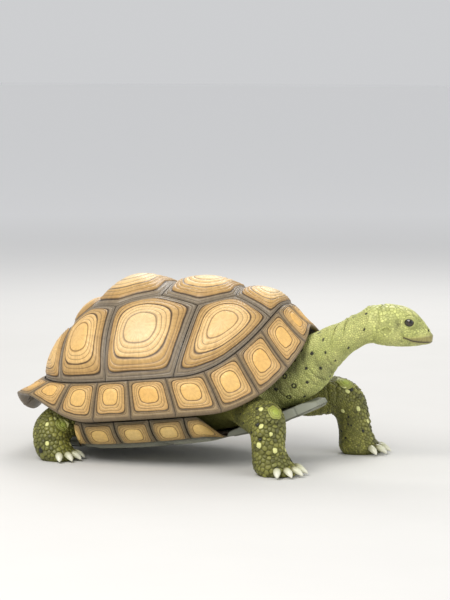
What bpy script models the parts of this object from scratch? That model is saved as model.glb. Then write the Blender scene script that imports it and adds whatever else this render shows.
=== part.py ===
"""A yellow-footed tortoise, adult, life size, standing with its neck stretched out.

The shell is modelled in its own frame: +X to the head, +Y to the animal's left, z = 0 at the underside
of the plastron. An empty pitches that frame nose up and lifts it off the ground. Neck, legs and tail
are lofts in the ground frame, and the head is modelled in a frame of its own at the end of the neck.
"""

import math

import bmesh
import bpy
import numpy as np
from mathutils import Euler, Matrix, Vector

# ---------------------------------------------------------------- driving dimensions, metres

GAP = 0.0003  # clearance between neighbouring solids

SHELL_FRONT = 0.207  # shell centre to the front rim, on the midline
SHELL_REAR = 0.197
SHELL_HALF_WIDTH = 0.136
DOME_FRONT = 0.172  # shell centre to the seam above the marginals
DOME_REAR = 0.154
DOME_HALF_WIDTH = 0.129
DOME_TOP = 0.193
PLATE = 0.007  # thickness of the shell plates
LIP = 0.011  # thickness of the marginals where the skin meets them
RIM_EDGE = 0.0035
SHELL_PITCH = math.radians(6.0)
SHELL_LIFT = 0.027  # ground to the plastron, under the shell centre

NAPE = Vector((0.2605, 0.0105, 0.1775))
HEAD_YAW = math.radians(11.0)
HEAD_PITCH = math.radians(7.0)  # nose down
EYE_RADIUS = 0.0067
EYE_CENTRE = Vector((0.0490, 0.0160, 0.0105))

FORE_CLAWS, HIND_CLAWS = 5, 4
BODY_SHIFT = -0.06785  # brings the middle of the whole length over the origin

# ---------------------------------------------------------------- materials


def material(name, colour, roughness):
    made = bpy.data.materials.new(name)
    made.use_nodes = True
    shader = made.node_tree.nodes["Principled BSDF"]
    shader.inputs["Base Color"].default_value = (*colour, 1.0)
    shader.inputs["Roughness"].default_value = roughness
    shader.inputs["Metallic"].default_value = 0.0
    made.diffuse_color = (*colour, 1.0)
    return made


def make_materials():
    return {
        "scute": material("scute", (0.78, 0.62, 0.33), 0.45),
        "marginal": material("marginal", (0.55, 0.44, 0.25), 0.45),
        "plastron": material("plastron", (0.36, 0.37, 0.29), 0.5),
        "pale_skin": material("pale_skin", (0.50, 0.53, 0.17), 0.7),
        "dark_skin": material("dark_skin", (0.13, 0.16, 0.04), 0.75),
        "beak": material("beak", (0.42, 0.42, 0.16), 0.4),
        "claw": material("claw", (0.68, 0.70, 0.58), 0.35),
        "eye": material("eye", (0.02, 0.015, 0.01), 0.08),
    }


# ---------------------------------------------------------------- small tools


def smoothstep(low, high, x):
    t = np.clip((np.asarray(x, float) - low) / (high - low), 0.0, 1.0)
    return t * t * (3 - 2 * t)


def unit(vectors):
    return vectors / np.linalg.norm(vectors, axis=-1, keepdims=True)


def loft(name, rings, finish, parent=None):
    """One closed body through equal rings of points: a capped circle that is extruded ring by ring."""
    bm = bmesh.new()
    bmesh.ops.create_circle(bm, cap_ends=True, segments=len(rings[0]), radius=1.0)
    bm.faces.ensure_lookup_table()
    end = bm.faces[0]
    for index, ring in enumerate(rings):
        if index:
            end = bmesh.ops.extrude_discrete_faces(bm, faces=[end])["faces"][0]
        for corner, point in zip(end.loops, ring):
            corner.vert.co = point
    bmesh.ops.holes_fill(bm, edges=[e for e in bm.edges if e.is_boundary])
    bmesh.ops.remove_doubles(bm, verts=bm.verts, dist=1e-6)
    bmesh.ops.recalc_face_normals(bm, faces=bm.faces)
    mesh = bpy.data.meshes.new(name)
    bm.to_mesh(mesh)
    bm.free()
    mesh.shade_smooth()
    mesh.set_sharp_from_angle(angle=math.radians(40))
    made = bpy.data.objects.new(name, mesh)
    made.data.materials.append(finish)
    made.parent = parent
    bpy.context.scene.collection.objects.link(made)
    return made


def as_cutter(made):
    made.hide_render = True
    made.display_type = "WIRE"
    return made


def boolean(target, other, operation="DIFFERENCE"):
    modifier = target.modifiers.new(f"{operation.lower()} {other.name}", "BOOLEAN")
    modifier.operation = operation
    modifier.solver = "EXACT"
    modifier.object = other


def mirrored(rings):
    return [[(x, -y, z) for x, y, z in ring] for ring in rings]


def spline(stations, count):
    """count rows read along a Catmull-Rom curve through the rows of stations."""
    rows = np.asarray(stations, float)
    padded = np.vstack([2 * rows[0] - rows[1], rows, 2 * rows[-1] - rows[-2]])
    found = []
    for t in np.linspace(0, len(rows) - 1, count):
        i = min(int(t), len(rows) - 2)
        f = t - i
        a, b, c, d = padded[i : i + 4]
        found.append(
            0.5 * (2 * b + (c - a) * f + (2 * a - 5 * b + 4 * c - d) * f**2 + (3 * b - a - 3 * c + d) * f**3)
        )
    return np.array(found)


# ---------------------------------------------------------------- form of the shell
#
# A point of the shell is read from a disk chart (a, b): a runs to the head, b to the left, the unit
# circle is the rim, and the circle of radius SEAM is the seam between the costals and the marginals.

SEAM = 0.80
DOME_CENTRE_X = -0.010
PLAN_POWER = 2.3  # above 2, the outline has straighter sides than an ellipse


def plan(phi, front, rear, half_width, taper):
    """Outline of the shell from above at the chart angle phi, measured from the dome's centre."""
    c, s = np.cos(phi), np.sin(phi)
    reach = (np.abs(c) ** PLAN_POWER + np.abs(s) ** PLAN_POWER) ** (-1 / PLAN_POWER)
    x = np.where(c > 0, front, rear) * c * reach
    y = half_width * s * reach * (1 - taper * c)
    return DOME_CENTRE_X + x, y


def turn_share(phi):
    """0 at the front middle, 1 at the rear middle, on either side."""
    return np.abs(np.arctan2(np.sin(phi), np.cos(phi))) / math.pi


def seam_point(phi):
    share = turn_share(phi)
    x, y = plan(phi, DOME_FRONT - DOME_CENTRE_X, DOME_REAR + DOME_CENTRE_X, DOME_HALF_WIDTH, 0.05)
    z = 0.084 + 0.072 * (1 - smoothstep(0.02, 0.36, share)) + 0.006 * smoothstep(0.6, 1.0, share)
    return np.stack([x, y, z], -1)


def rim_point(phi):
    share = turn_share(phi)
    x, y = plan(phi, SHELL_FRONT - DOME_CENTRE_X, SHELL_REAR + DOME_CENTRE_X, SHELL_HALF_WIDTH, 0.07)
    notch = 0.006 * np.exp(-((share / 0.05) ** 2))
    rise = 0.090 * (1 - smoothstep(-0.03, 0.33, share)) + 0.034 * smoothstep(0.58, 0.76, share)
    z = 0.038 + rise - 0.028 * smoothstep(0.82, 1.0, share)
    return np.stack([x - notch, y, z], -1)


def shell_point(a, b):
    """The smooth form of the carapace, in the shell's frame, at chart points (a, b)."""
    a, b = np.asarray(a, float), np.asarray(b, float)
    v, phi = np.hypot(a, b), np.arctan2(b, a)
    seam, rim = seam_point(phi), rim_point(phi)
    share = turn_share(phi)
    widest = np.radians(64 + 17 * np.sin(math.pi * share) ** 2)
    angle = np.clip(v / SEAM, 0, 1) * widest
    out = (np.sin(angle) / np.sin(widest))[..., None]
    up = ((np.cos(angle) - np.cos(widest)) / (1 - np.cos(widest)))[..., None]
    centre = np.array([DOME_CENTRE_X, 0.0, DOME_TOP])
    flat = np.array([1.0, 1.0, 0.0])
    dome = (centre + (seam - centre) * out) * flat + (seam + (centre - seam) * up) * (1 - flat)
    t = np.clip((v - SEAM) / (1 - SEAM), 0, None)[..., None]
    hang = 0.004 * np.sin(math.pi * np.clip(t, 0, 1)) * np.cos(2 * math.pi * share)[..., None]
    flange = seam + (rim - seam) * t - hang * np.array([0.0, 0.0, 1.0])
    return np.where((v > SEAM)[..., None], flange, dome)


def shell_normal(a, b, step=0.004):
    a, b = np.asarray(a, float), np.asarray(b, float)
    along = shell_point(a + step, b) - shell_point(a - step, b)
    across = shell_point(a, b + step) - shell_point(a, b - step)
    return unit(np.cross(along, across))


def dome_normal(a, b):
    """Normal of the dome, without the crease at the seam circle."""
    a, b = np.asarray(a, float), np.asarray(b, float)
    inner = np.minimum(1.0, (SEAM - 0.01) / np.maximum(np.hypot(a, b), 1e-6))
    return shell_normal(a * inner, b * inner)


def on_circle(degrees, radius=SEAM):
    return radius * math.cos(math.radians(degrees)), radius * math.sin(math.radians(degrees))


# Corners of the large scutes on the left side, in the chart.
FRONT_CORNER, REAR_CORNER = 20.0, 152.0  # where a costal, an end vertebral and the marginals meet, degrees
COSTAL_SEAMS = (68.0, 97.0, 125.0)  # where the seams between the costals reach the marginals
VERTEBRAL_SEAMS = ((0.47, 0.17), (0.105, 0.22), (-0.275, 0.21), (-0.50, 0.15))
VERTEBRAL_WAISTS = ((0.29, 0.29), (-0.085, 0.31), (-0.395, 0.27))
MARGINAL_SEAMS = (0, 14, 28, 42, 56, 71, 86, 101, 117, 134, 151, 168, 192)


def arc(start, stop):
    """Chart points along the seam circle, in steps of about 7 degrees, without the first."""
    count = max(2, round(abs(stop - start) / 7))
    return [on_circle(start + (stop - start) * k / count) for k in range(1, count + 1)]


def side(start, stop, count=2):
    """Chart points on a straight seam, without the first."""
    start, stop = np.array(start), np.array(stop)
    return [tuple(start + (stop - start) * k / count) for k in range(1, count + 1)]


def both_sides(half):
    """A midline scute's outline from its left half, given from front to rear."""
    return half + [(a, -b) for a, b in reversed(half)]


def vertebral_outlines():
    s12, s23, s34, s45 = VERTEBRAL_SEAMS
    w2, w3, w4 = VERTEBRAL_WAISTS
    front = [on_circle(d) for d in (0.0, 7.0, 14.0, FRONT_CORNER)]
    rear = [on_circle(d) for d in (REAR_CORNER, 161.0, 171.0, 180.0)]
    halves = [front[1:] + side(front[-1], s12)]
    halves += [
        [before] + side(before, waist) + side(waist, after)
        for before, waist, after in ((s12, w2, s23), (s23, w3, s34), (s34, w4, s45))
    ]
    halves += [[s45] + side(s45, rear[0]) + rear[1:-1]]
    outlines = [both_sides(half) for half in halves]
    outlines[0].insert(0, front[0])
    outlines[-1].insert(len(halves[-1]), rear[-1])
    return outlines


def costal_outlines():
    s12, s23, s34, s45 = VERTEBRAL_SEAMS
    w2, w3, w4 = VERTEBRAL_WAISTS
    e12, e23, e34 = COSTAL_SEAMS
    corners = (
        (FRONT_CORNER, e12, (w2, s12, on_circle(FRONT_CORNER))),
        (e12, e23, (w3, s23, w2, on_circle(e12))),
        (e23, e34, (w4, s34, w3, on_circle(e23))),
        (e34, REAR_CORNER, (s45, w4, on_circle(e34))),
    )
    outlines = []
    for start, stop, inner in corners:
        outline, last = arc(start, stop), on_circle(stop)
        for corner in inner:
            outline += side(last, corner)
            last = corner
        outlines.append(outline)
    return outlines


SEAM_INSET = 0.0014  # half the gap along the seams, in the chart's units


def plate_rings(outline, lift, shift=(0.0, 0.0)):
    """Rings of a plate: from its raised centre over the top, down the edge and back below."""
    edge = np.array(outline)
    centre = edge.mean(axis=0)
    heart = centre + np.array(shift)
    edge = edge + unit(centre - edge) * SEAM_INSET
    top = ((0.14, 1.0), (0.50, 0.68), (0.86, 0.14), (1.0, -0.10))
    below = (1.0, 0.50)
    rings = []
    for share, height in top:
        chart = heart + (edge - heart) * share
        a, b = chart[:, 0], chart[:, 1]
        rings.append(shell_point(a, b) + dome_normal(a, b) * lift * height)
    for share in below:
        chart = heart + (edge - heart) * share
        a, b = chart[:, 0], chart[:, 1]
        rings.append(shell_point(a, b) - dome_normal(a, b) * PLATE)
    return rings


VERTEBRAL_LIFTS = (0.008, 0.010, 0.015, 0.010, 0.006)
COSTAL_LIFTS = (0.007, 0.007, 0.006, 0.005)
HEART_SHIFT = (-0.02, -0.015)  # the oldest part of a costal lies towards the ridge and the tail


def make_plates(finish, frame):
    for number, (outline, lift) in enumerate(zip(vertebral_outlines(), VERTEBRAL_LIFTS), 1):
        loft(f"vertebral_{number}", plate_rings(outline, lift), finish, frame)
    for number, (outline, lift) in enumerate(zip(costal_outlines(), COSTAL_LIFTS), 1):
        rings = plate_rings(outline, lift, HEART_SHIFT)
        loft(f"costal_left_{number}", rings, finish, frame)
        loft(f"costal_right_{number}", mirrored(rings), finish, frame)


# ---------------------------------------------------------------- rim of the shell


def inward(phi):
    """Level direction from the rim to the middle of the shell."""
    rim, seam = rim_point(phi), seam_point(phi)
    level = (seam - rim) * np.array([1.0, 1.0, 0.0])
    centre = np.array([DOME_CENTRE_X, 0.0, 0.0]) - rim * np.array([1.0, 1.0, 0.0])
    return unit(unit(level) + 0.35 * unit(centre))


def marginal_section(phi, seam_depth):
    """Section across the rim: down the outside, round the edge, back below, and up the inner end."""
    c, s = float(np.cos(phi)), float(np.sin(phi))
    start = SEAM + 0.0035
    top, wall = shell_point(start * c, start * s), dome_normal(start * c, start * s)
    section = [top - wall * 0.001]
    for v, bulge in ((0.86, 0.0025), (0.92, 0.0025), (0.975, 0.001)):
        normal = shell_normal(v * c, v * s)
        section.append(shell_point(v * c, v * s) + normal * (bulge * (1 - seam_depth) - 0.001 * seam_depth))
    rim, root, below = rim_point(phi), top - wall * LIP, np.array([0.0, 0.0, -1.0])
    section += [rim, rim + inward(phi) * 0.004 + below * RIM_EDGE]
    section += [(rim + root) / 2 + below * 0.0035, root, top - wall * PLATE * 0.9]
    level = (seam_point(phi) - rim) * np.array([1.0, 1.0, 0.0])
    tangent = unit(np.array([-level[1], level[0], 0.0]))
    return [point - tangent * np.dot(point - rim, tangent) for point in section]


def marginal_rings(first, last):
    """Sections along the marginals from seam number first to seam number last."""
    rings = []
    for index in range(first, last):
        start, stop = MARGINAL_SEAMS[index : index + 2]
        stations = ((0.0, 1.0), (0.16, 0.0), (0.5, -0.5), (0.84, 0.0))
        if index == last - 1:
            stations += ((1.0, 1.0),)
        for share, depth in stations:
            degrees = start + (stop - start) * share
            if index == first and share == 0.0:
                degrees += 0.12
            if index == last - 1 and share == 1.0:
                degrees -= 0.12
            rings.append(marginal_section(math.radians(degrees), depth))
    return rings


MARGINAL_GROUPS = {"front": (0, 3), "bridge": (3, 8), "rear": (8, 11)}


def make_marginals(finish, frame):
    for place, (first, last) in MARGINAL_GROUPS.items():
        rings = marginal_rings(first, last)
        loft(f"marginals_{place}_left", rings, finish, frame)
        loft(f"marginals_{place}_right", mirrored(rings), finish, frame)
    loft("supracaudal", marginal_rings(11, 12), finish, frame)


# ---------------------------------------------------------------- plastron and bridges

PLASTRON = 0.007
PLASTRON_FRONT, PLASTRON_REAR = 0.208, -0.160
BRIDGE_FRONT, BRIDGE_REAR = 0.082, -0.078  # the bridges reach the marginals between these
BRIDGE_TURN = math.radians(84)  # slope of the bridge where it meets the marginals
BRIDGE_RUN = 0.020  # length over which a lobe widens into the bridge


def side_rim(x):
    """Rim point of the left side at the shell's x, found by halving."""
    low, high = 0.0, math.pi
    for _ in range(40):
        middle = (low + high) / 2
        low, high = (middle, high) if rim_point(middle)[0] > x else (low, middle)
    return rim_point(low)


def lobe_half_width(x):
    if x > 0:
        share = np.clip((PLASTRON_FRONT - x) / (PLASTRON_FRONT - BRIDGE_FRONT), 0, 1)
        return 0.025 + 0.041 * math.sin(share * math.pi / 2) ** 1.1
    share = np.clip((x - PLASTRON_REAR) / (BRIDGE_REAR - PLASTRON_REAR), 0, 1)
    return 0.034 + 0.040 * math.sin(share * math.pi / 2) ** 0.7


def bridge_share(x):
    rising = smoothstep(BRIDGE_REAR - BRIDGE_RUN, BRIDGE_REAR, x)
    return float(rising * (1 - smoothstep(BRIDGE_FRONT, BRIDGE_FRONT + BRIDGE_RUN, x)))


def belly(x):
    """Height of the underside: it sags in the middle, and the front lobe bends up towards the throat."""
    sag = 0.006 * max(0.0, 1 - ((x + 0.015) / 0.13) ** 2)
    return 0.026 * max(0.0, (x - 0.105) / 0.103) ** 1.7 + 0.006 * max(0.0, (-0.10 - x) / 0.06) ** 2 - sag


def plastron_section(x, end_share):
    """Closed section across the plastron at x. end_share draws the two ends in to a rounded outline."""
    rim, share = side_rim(x), bridge_share(x)
    edge_y = (1 - share) * lobe_half_width(x) * end_share + share * (rim[1] - 0.0125)
    edge_z = share * (rim[2] - 0.0055 - belly(x))
    flat = min(edge_y * 0.72, 0.074)
    half = []
    for t in (0.0, 1.0):
        half.append((flat * t, 0.0))
    for t in (0.35, 0.7, 1.0):
        angle = t * BRIDGE_TURN
        y = flat + (edge_y - flat) * math.sin(angle) / math.sin(BRIDGE_TURN)
        half.append((y, edge_z * (1 - math.cos(angle)) / (1 - math.cos(BRIDGE_TURN))))
    outer = [Vector((x, y, z + belly(x))) for y, z in half]
    inner = []
    for index, point in enumerate(outer):
        before, after = outer[max(index - 1, 0)], outer[min(index + 1, len(outer) - 1)]
        run = (after - before).normalized()
        inner.append(point + Vector((0, -run.z, run.y)) * PLASTRON)
    half_ring = outer + inner[::-1]
    right = [Vector((p.x, -p.y, p.z)) for p in half_ring[::-1]]
    bottom, top = half_ring[0], half_ring[-1]
    return [tuple(p) for p in half_ring] + [tuple(p) for p in right if p.y < -1e-9 and p not in (bottom, top)]


def make_plastron(finish, frame):
    stations = [
        (PLASTRON_REAR, 0.45), (-0.153, 0.75), (-0.140, 0.93), (-0.122, 1.0), (-0.102, 1.0), (-0.094, 1.0),
        (-0.087, 1.0), (-0.077, 1.0), (-0.045, 1.0), (0.0, 1.0), (0.045, 1.0), (0.080, 1.0), (0.088, 1.0),
        (0.094, 1.0), (0.103, 1.0), (0.125, 1.0),
        (0.145, 1.0), (0.165, 1.0), (0.185, 1.0), (0.200, 0.88), (PLASTRON_FRONT, 0.60),
    ]
    loft("plastron", [plastron_section(x, share) for x, share in stations], finish, frame)


# ---------------------------------------------------------------- trunk

TRUNK_CLEAR = 0.0064  # below the plates, whose undersides are faceted too
TRUNK_STEPS = 28


def trunk_rings():
    phi = np.linspace(0, 2 * math.pi, TRUNK_STEPS, endpoint=False)
    c, s = np.cos(phi), np.sin(phi)
    rings = []
    for v in (0.20, 0.42, 0.62, 0.76):
        a, b = v * c, v * s
        rings.append(shell_point(a, b) - dome_normal(a, b) * (PLATE + TRUNK_CLEAR))
    v = SEAM - 0.004
    lip = shell_point(v * c, v * s) - dome_normal(v * c, v * s) * (LIP + 0.002) + inward(phi) * 0.004
    ends = np.cos(phi) ** 2
    floor_x = DOME_CENTRE_X + np.where(c > 0, 0.150, 0.128) * c
    floor_y = 0.070 * s
    floor_z = PLASTRON + 0.0015 + np.array([belly(x) for x in floor_x])
    floor = np.stack([floor_x, floor_y, floor_z], -1)
    for share in (0.0, 0.4, 0.75):
        bulge = 0.010 * math.sin(math.pi * share)
        rings.append(lip + (floor - lip) * share - inward(phi) * (bulge * ends)[:, None])
    rings.append(floor)
    return rings


# ---------------------------------------------------------------- neck, legs and tail


def tube_rings(stations, count, segments, way, end=None, grow=0.0):
    """Rings along a limb. A station is (x, y, z, half width, half depth), and the end's depth runs along way.

    The last rings turn to face the way of end, so that a leg stops in a level sole.
    """
    rows = spline(stations, count)
    centres, sizes = rows[:, :3], rows[:, 3:5] + grow
    runs = [Vector(run).normalized() for run in np.gradient(centres, axis=0)]
    if end is not None:
        shares = [float(smoothstep(0.35, 0.80, index / (count - 1))) for index in range(count)]
        runs = [run.lerp(Vector(end), share).normalized() for run, share in zip(runs, shares)]
    depth, rings = Vector(way), []
    for index in reversed(range(count)):
        along = runs[index]
        depth = (depth - along * along.dot(depth)).normalized()
        width = along.cross(depth)
        shift = along * (grow if index == count - 1 else -grow if index == 0 else 0.0)
        ring = []
        for k in range(segments):
            angle = 2 * math.pi * k / segments
            across = width * (sizes[index][0] * math.cos(angle))
            fore = depth * (sizes[index][1] * math.sin(angle))
            ring.append(tuple(Vector(centres[index]) + across + fore + shift))
        rings.insert(0, ring)
    return rings


# Stations run from inside the trunk out to the foot. For the forelegs the depth runs forward.
NECK = (
    (0.112, 0.0000, 0.0900, 0.0330, 0.0320),
    (0.142, 0.0000, 0.1015, 0.0365, 0.0360),
    (0.180, 0.0010, 0.1215, 0.0345, 0.0345),
    (0.213, 0.0040, 0.1450, 0.0290, 0.0285),
    (0.239, 0.0070, 0.1635, 0.0255, 0.0255),
    (0.2605, 0.0105, 0.1775, 0.0240, 0.0242),
)
RIGHT_FORELEG = (
    (0.098, -0.048, 0.078, 0.019, 0.021),
    (0.125, -0.062, 0.072, 0.021, 0.023),
    (0.148, -0.080, 0.067, 0.023, 0.024),
    (0.163, -0.093, 0.062, 0.0235, 0.0245),
    (0.167, -0.099, 0.048, 0.0215, 0.0225),
    (0.167, -0.099, 0.032, 0.0215, 0.0215),
    (0.171, -0.097, 0.016, 0.0245, 0.0250),
    (0.176, -0.096, 0.006, 0.0260, 0.0280),
    (0.178, -0.096, 0.000, 0.0225, 0.0245),
)
LEFT_FORELEG = (
    (0.098, 0.048, 0.078, 0.019, 0.021),
    (0.128, 0.064, 0.073, 0.020, 0.022),
    (0.158, 0.075, 0.070, 0.0235, 0.0245),
    (0.187, 0.089, 0.074, 0.0240, 0.0250),
    (0.203, 0.096, 0.062, 0.0225, 0.0235),
    (0.208, 0.098, 0.044, 0.0215, 0.0225),
    (0.211, 0.097, 0.029, 0.0215, 0.0220),
    (0.215, 0.096, 0.015, 0.0245, 0.0250),
    (0.219, 0.095, 0.006, 0.0260, 0.0280),
    (0.221, 0.095, 0.000, 0.0225, 0.0245),
)
RIGHT_HINDLEG = (
    (-0.080, -0.048, 0.060, 0.022, 0.024),
    (-0.100, -0.064, 0.055, 0.024, 0.025),
    (-0.119, -0.081, 0.047, 0.0235, 0.0245),
    (-0.1285, -0.092, 0.037, 0.0225, 0.0235),
    (-0.1265, -0.0965, 0.0230, 0.0225, 0.0240),
    (-0.1195, -0.0955, 0.008, 0.0245, 0.0270),
    (-0.1170, -0.0950, 0.000, 0.0215, 0.0240),
)
LEFT_HINDLEG = (
    (-0.085, 0.048, 0.060, 0.022, 0.024),
    (-0.108, 0.064, 0.054, 0.024, 0.025),
    (-0.132, 0.080, 0.046, 0.0235, 0.0245),
    (-0.1490, 0.091, 0.036, 0.0225, 0.0235),
    (-0.1530, 0.0955, 0.0230, 0.0225, 0.0240),
    (-0.1500, 0.0955, 0.008, 0.0245, 0.0270),
    (-0.1490, 0.0950, 0.000, 0.0215, 0.0240),
)
TAIL = (
    (-0.115, 0.000, 0.066, 0.019, 0.017),
    (-0.140, 0.000, 0.062, 0.016, 0.014),
    (-0.158, 0.003, 0.052, 0.012, 0.011),
    (-0.170, 0.010, 0.040, 0.008, 0.0075),
    (-0.177, 0.019, 0.031, 0.0035, 0.0035),
)

HEAD_TURN = Euler((0.0, HEAD_PITCH, HEAD_YAW))
FACE_WAY = tuple(HEAD_TURN.to_matrix() @ Vector((1, 0, 0)))
DOWN = (0, 0, -1)
LIMBS = {
    # name: (stations, rings, segments, way of the depth at the end, way that the end faces)
    "neck": (NECK, 9, 20, (0, 0, 1), FACE_WAY),
    "foreleg_right": (RIGHT_FORELEG, 12, 16, (1, -0.25, 0), DOWN),
    "foreleg_left": (LEFT_FORELEG, 12, 16, (1, 0.25, 0), DOWN),
    "hindleg_right": (RIGHT_HINDLEG, 10, 16, (1, -0.35, 0), DOWN),
    "hindleg_left": (LEFT_HINDLEG, 10, 16, (1, 0.35, 0), DOWN),
    "tail": (TAIL, 7, 10, (0, 0, 1), None),
}

# ---------------------------------------------------------------- claws

FORE_CLAW, HIND_CLAW = 0.019, 0.017  # length outside and inside the foot
CLAW_ROOT = 0.007  # of which this much is set in the foot
CLAW_RADIUS, CLAW_SIDES = 0.0050, 6
CLAW_PROFILE = ((0.0, 0.70), (0.35, 0.97), (0.65, 0.86), (0.88, 0.50), (1.0, 0.18))  # shares of length, radius
CLAW_FAN = math.radians(27)  # angle between neighbouring claws


def claw_rings(stations, way, yaw, length, grow=0.0):
    """A claw at the front of a foot: a curved cone that starts in the toe and bends to the ground."""
    x, y, _, half_width, half_depth = stations[-2]
    forward = Vector((way[0], way[1], 0)).normalized()
    aim = Matrix.Rotation(yaw, 3, "Z") @ forward
    across = Vector((-forward.y, forward.x, 0))
    reach = forward * (half_depth * aim.dot(forward)) + across * (half_width * aim.dot(across))
    root = Vector((x, y, 0.0095)) + reach - aim * CLAW_ROOT
    beside = aim.cross(Vector((0, 0, 1)))
    rings = []
    for index, (share, thickness) in enumerate(CLAW_PROFILE):
        droop = 0.0070 * share**2.2
        centre = root + aim * (length * share) - Vector((0, 0, droop))
        radius = CLAW_RADIUS * thickness + grow
        if index in (0, 4):
            centre = centre + aim * (grow if index else -grow)
        tilt = math.radians(-50) * share**1.2
        up = Vector((0, 0, 1)) * math.cos(tilt) - aim * math.sin(tilt)
        ring = []
        for k in range(CLAW_SIDES):
            angle = 2 * math.pi * k / CLAW_SIDES
            wide, high = radius * 0.95 * math.cos(angle), radius * 0.85 * math.sin(angle)
            ring.append(tuple(centre + beside * wide + up * high))
        rings.append(ring)
    return rings


def make_claws(limb, finish):
    """The claws of one foot, and in the foot the sockets that they stand in."""
    stations, _, _, way, _ = LIMBS[limb.name]
    count, length = (FORE_CLAWS, FORE_CLAW) if limb.name.startswith("fore") else (HIND_CLAWS, HIND_CLAW)
    for number in range(count):
        yaw = CLAW_FAN * (number - (count - 1) / 2)
        name = f"claw_{limb.name}_{number + 1}"
        loft(name, claw_rings(stations, way, yaw, length), finish)
        socket = loft(f"socket_{name}", claw_rings(stations, way, yaw, length, GAP), finish)
        boolean(limb, as_cutter(socket))


def make_limbs(finishes, frame):
    trunk = loft("trunk", trunk_rings(), finishes["dark_skin"], frame)
    for name, (stations, rings, segments, way, end) in LIMBS.items():
        finish = finishes["pale_skin" if name == "neck" else "dark_skin"]
        limb = loft(name, tube_rings(stations, rings, segments, way, end), finish)
        pocket = loft(f"pocket_{name}", tube_rings(stations, rings, segments, way, end, 2 * GAP), finish)
        boolean(trunk, as_cutter(pocket))
        if end is DOWN:
            make_claws(limb, finishes["claw"])


# ---------------------------------------------------------------- head
#
# The head's frame has its origin in the middle of the nape, +X to the snout and +Z to the crown.

HEAD_SECTIONS = (
    # distance from the nape, half width, crown, throat
    (0.0004, 0.0240, 0.0242, -0.0242),
    (0.0090, 0.0252, 0.0252, -0.0247),
    (0.0200, 0.0262, 0.0275, -0.0250),
    (0.0330, 0.0258, 0.0280, -0.0244),
    (0.0455, 0.0228, 0.0255, -0.0230),
    (0.0560, 0.0186, 0.0200, -0.0210),
    (0.0655, 0.0140, 0.0120, -0.0188),
    (0.0735, 0.0092, 0.0040, -0.0160),
    (0.0775, 0.0048, -0.0030, -0.0120),
)
MOUTH_FRONT = ((0.095, -0.0112), (0.074, -0.0112), (0.066, -0.0120), (0.056, -0.0118), (0.046, -0.0085))
MOUTH = (*MOUTH_FRONT, (0.038, -0.0040))  # the line between the jaws, from the snout to the corner
JAW_BACK = ((0.026, -0.0115), (0.021, -0.0350))
BEAK_BACK = ((0.058, -0.0020), (0.066, 0.0005), (0.095, 0.0005))
CHIN_BACK = ((0.053, -0.0165), (0.058, -0.0350))


def head_rings():
    segments = 20
    rings = []
    for x, half_width, crown, throat in spline(HEAD_SECTIONS, 11):
        middle, half_height = (crown + throat) / 2, (crown - throat) / 2
        ring = []
        for k in range(segments):
            angle = 2 * math.pi * k / segments
            c, s = math.cos(angle), math.sin(angle)
            reach = (abs(c) ** 2.3 + abs(s) ** 2.3) ** (-1 / 2.3)
            ring.append((x, half_width * c * reach, middle + half_height * s * reach))
        rings.append(ring)
    return rings


def offset_outline(outline, distance):
    """The corners of a counter-clockwise outline moved outwards by a distance."""
    corners = [Vector(p) for p in outline]
    moved = []
    for before, here, after in zip(corners[-1:] + corners[:-1], corners, corners[1:] + corners[:1]):
        first, second = (here - before).normalized(), (after - here).normalized()
        normals = Vector((first.y, -first.x)), Vector((second.y, -second.x))
        middle = (normals[0] + normals[1]).normalized()
        moved.append(here + middle * (distance / max(0.3, middle.dot(normals[0]))))
    return moved


def prism(name, outline, distance, finish, frame):
    """A tool that cuts the head from side to side: an outline in the head's x and z, made thick along y."""
    moved = offset_outline(outline, distance)
    half = 0.05
    rings = [[(p.x, y, p.y) for p in moved] for y in (-half, half)]
    return as_cutter(loft(name, rings, finish, frame))


def counter_clockwise(outline):
    area = sum(a[0] * b[1] - b[0] * a[1] for a, b in zip(outline, outline[1:] + outline[:1]))
    return outline if area > 0 else outline[::-1]


def make_head(finishes, frame):
    jaw_area = counter_clockwise([*MOUTH, *JAW_BACK, (0.095, -0.0350)])
    beak_area = counter_clockwise([*MOUTH_FRONT, *BEAK_BACK])
    chin_area = counter_clockwise([*MOUTH_FRONT, *CHIN_BACK, (0.095, -0.0350)])
    pale, horn = finishes["pale_skin"], finishes["beak"]

    def cut(name, finish, keep=None, drop=()):
        piece = loft(name, head_rings(), finish, frame)
        if keep:
            boolean(piece, prism(f"keep_{name}", keep, -GAP / 2, finish, frame), "INTERSECT")
        for index, area in enumerate(drop):
            boolean(piece, prism(f"drop_{name}_{index}", area, GAP / 2, finish, frame))
        return piece

    head = cut("head", pale, drop=(jaw_area, beak_area))
    cut("lower_jaw", pale, keep=jaw_area, drop=(chin_area,))
    cut("beak_upper", horn, keep=beak_area)
    cut("beak_lower", horn, keep=chin_area)
    for place, mirror in (("left", 1), ("right", -1)):
        centre = Vector((EYE_CENTRE.x, EYE_CENTRE.y * mirror, EYE_CENTRE.z))
        make_eye(f"eye_{place}", centre, EYE_RADIUS, finishes["eye"], frame)
        socket = make_eye(f"socket_{place}", centre, EYE_RADIUS + GAP, finishes["eye"], frame)
        boolean(head, as_cutter(socket))


def make_eye(name, centre, radius, finish, frame):
    """A ball lofted from pole to pole across the head."""
    rings = []
    steps, segments = 7, 12
    for step in range(1, steps):
        polar = math.pi * step / steps
        ring = []
        for k in range(segments):
            angle = 2 * math.pi * k / segments
            ring.append(
                (
                    centre.x + radius * math.sin(polar) * math.cos(angle),
                    centre.y + radius * math.cos(polar),
                    centre.z + radius * math.sin(polar) * math.sin(angle),
                )
            )
        rings.append(ring)
    return loft(name, rings, finish, frame)


# ---------------------------------------------------------------- the whole animal


def make_frame(name, location, rotation=(0.0, 0.0, 0.0)):
    frame = bpy.data.objects.new(name, None)
    frame.location = location
    frame.rotation_euler = rotation
    bpy.context.scene.collection.objects.link(frame)
    return frame


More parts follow.
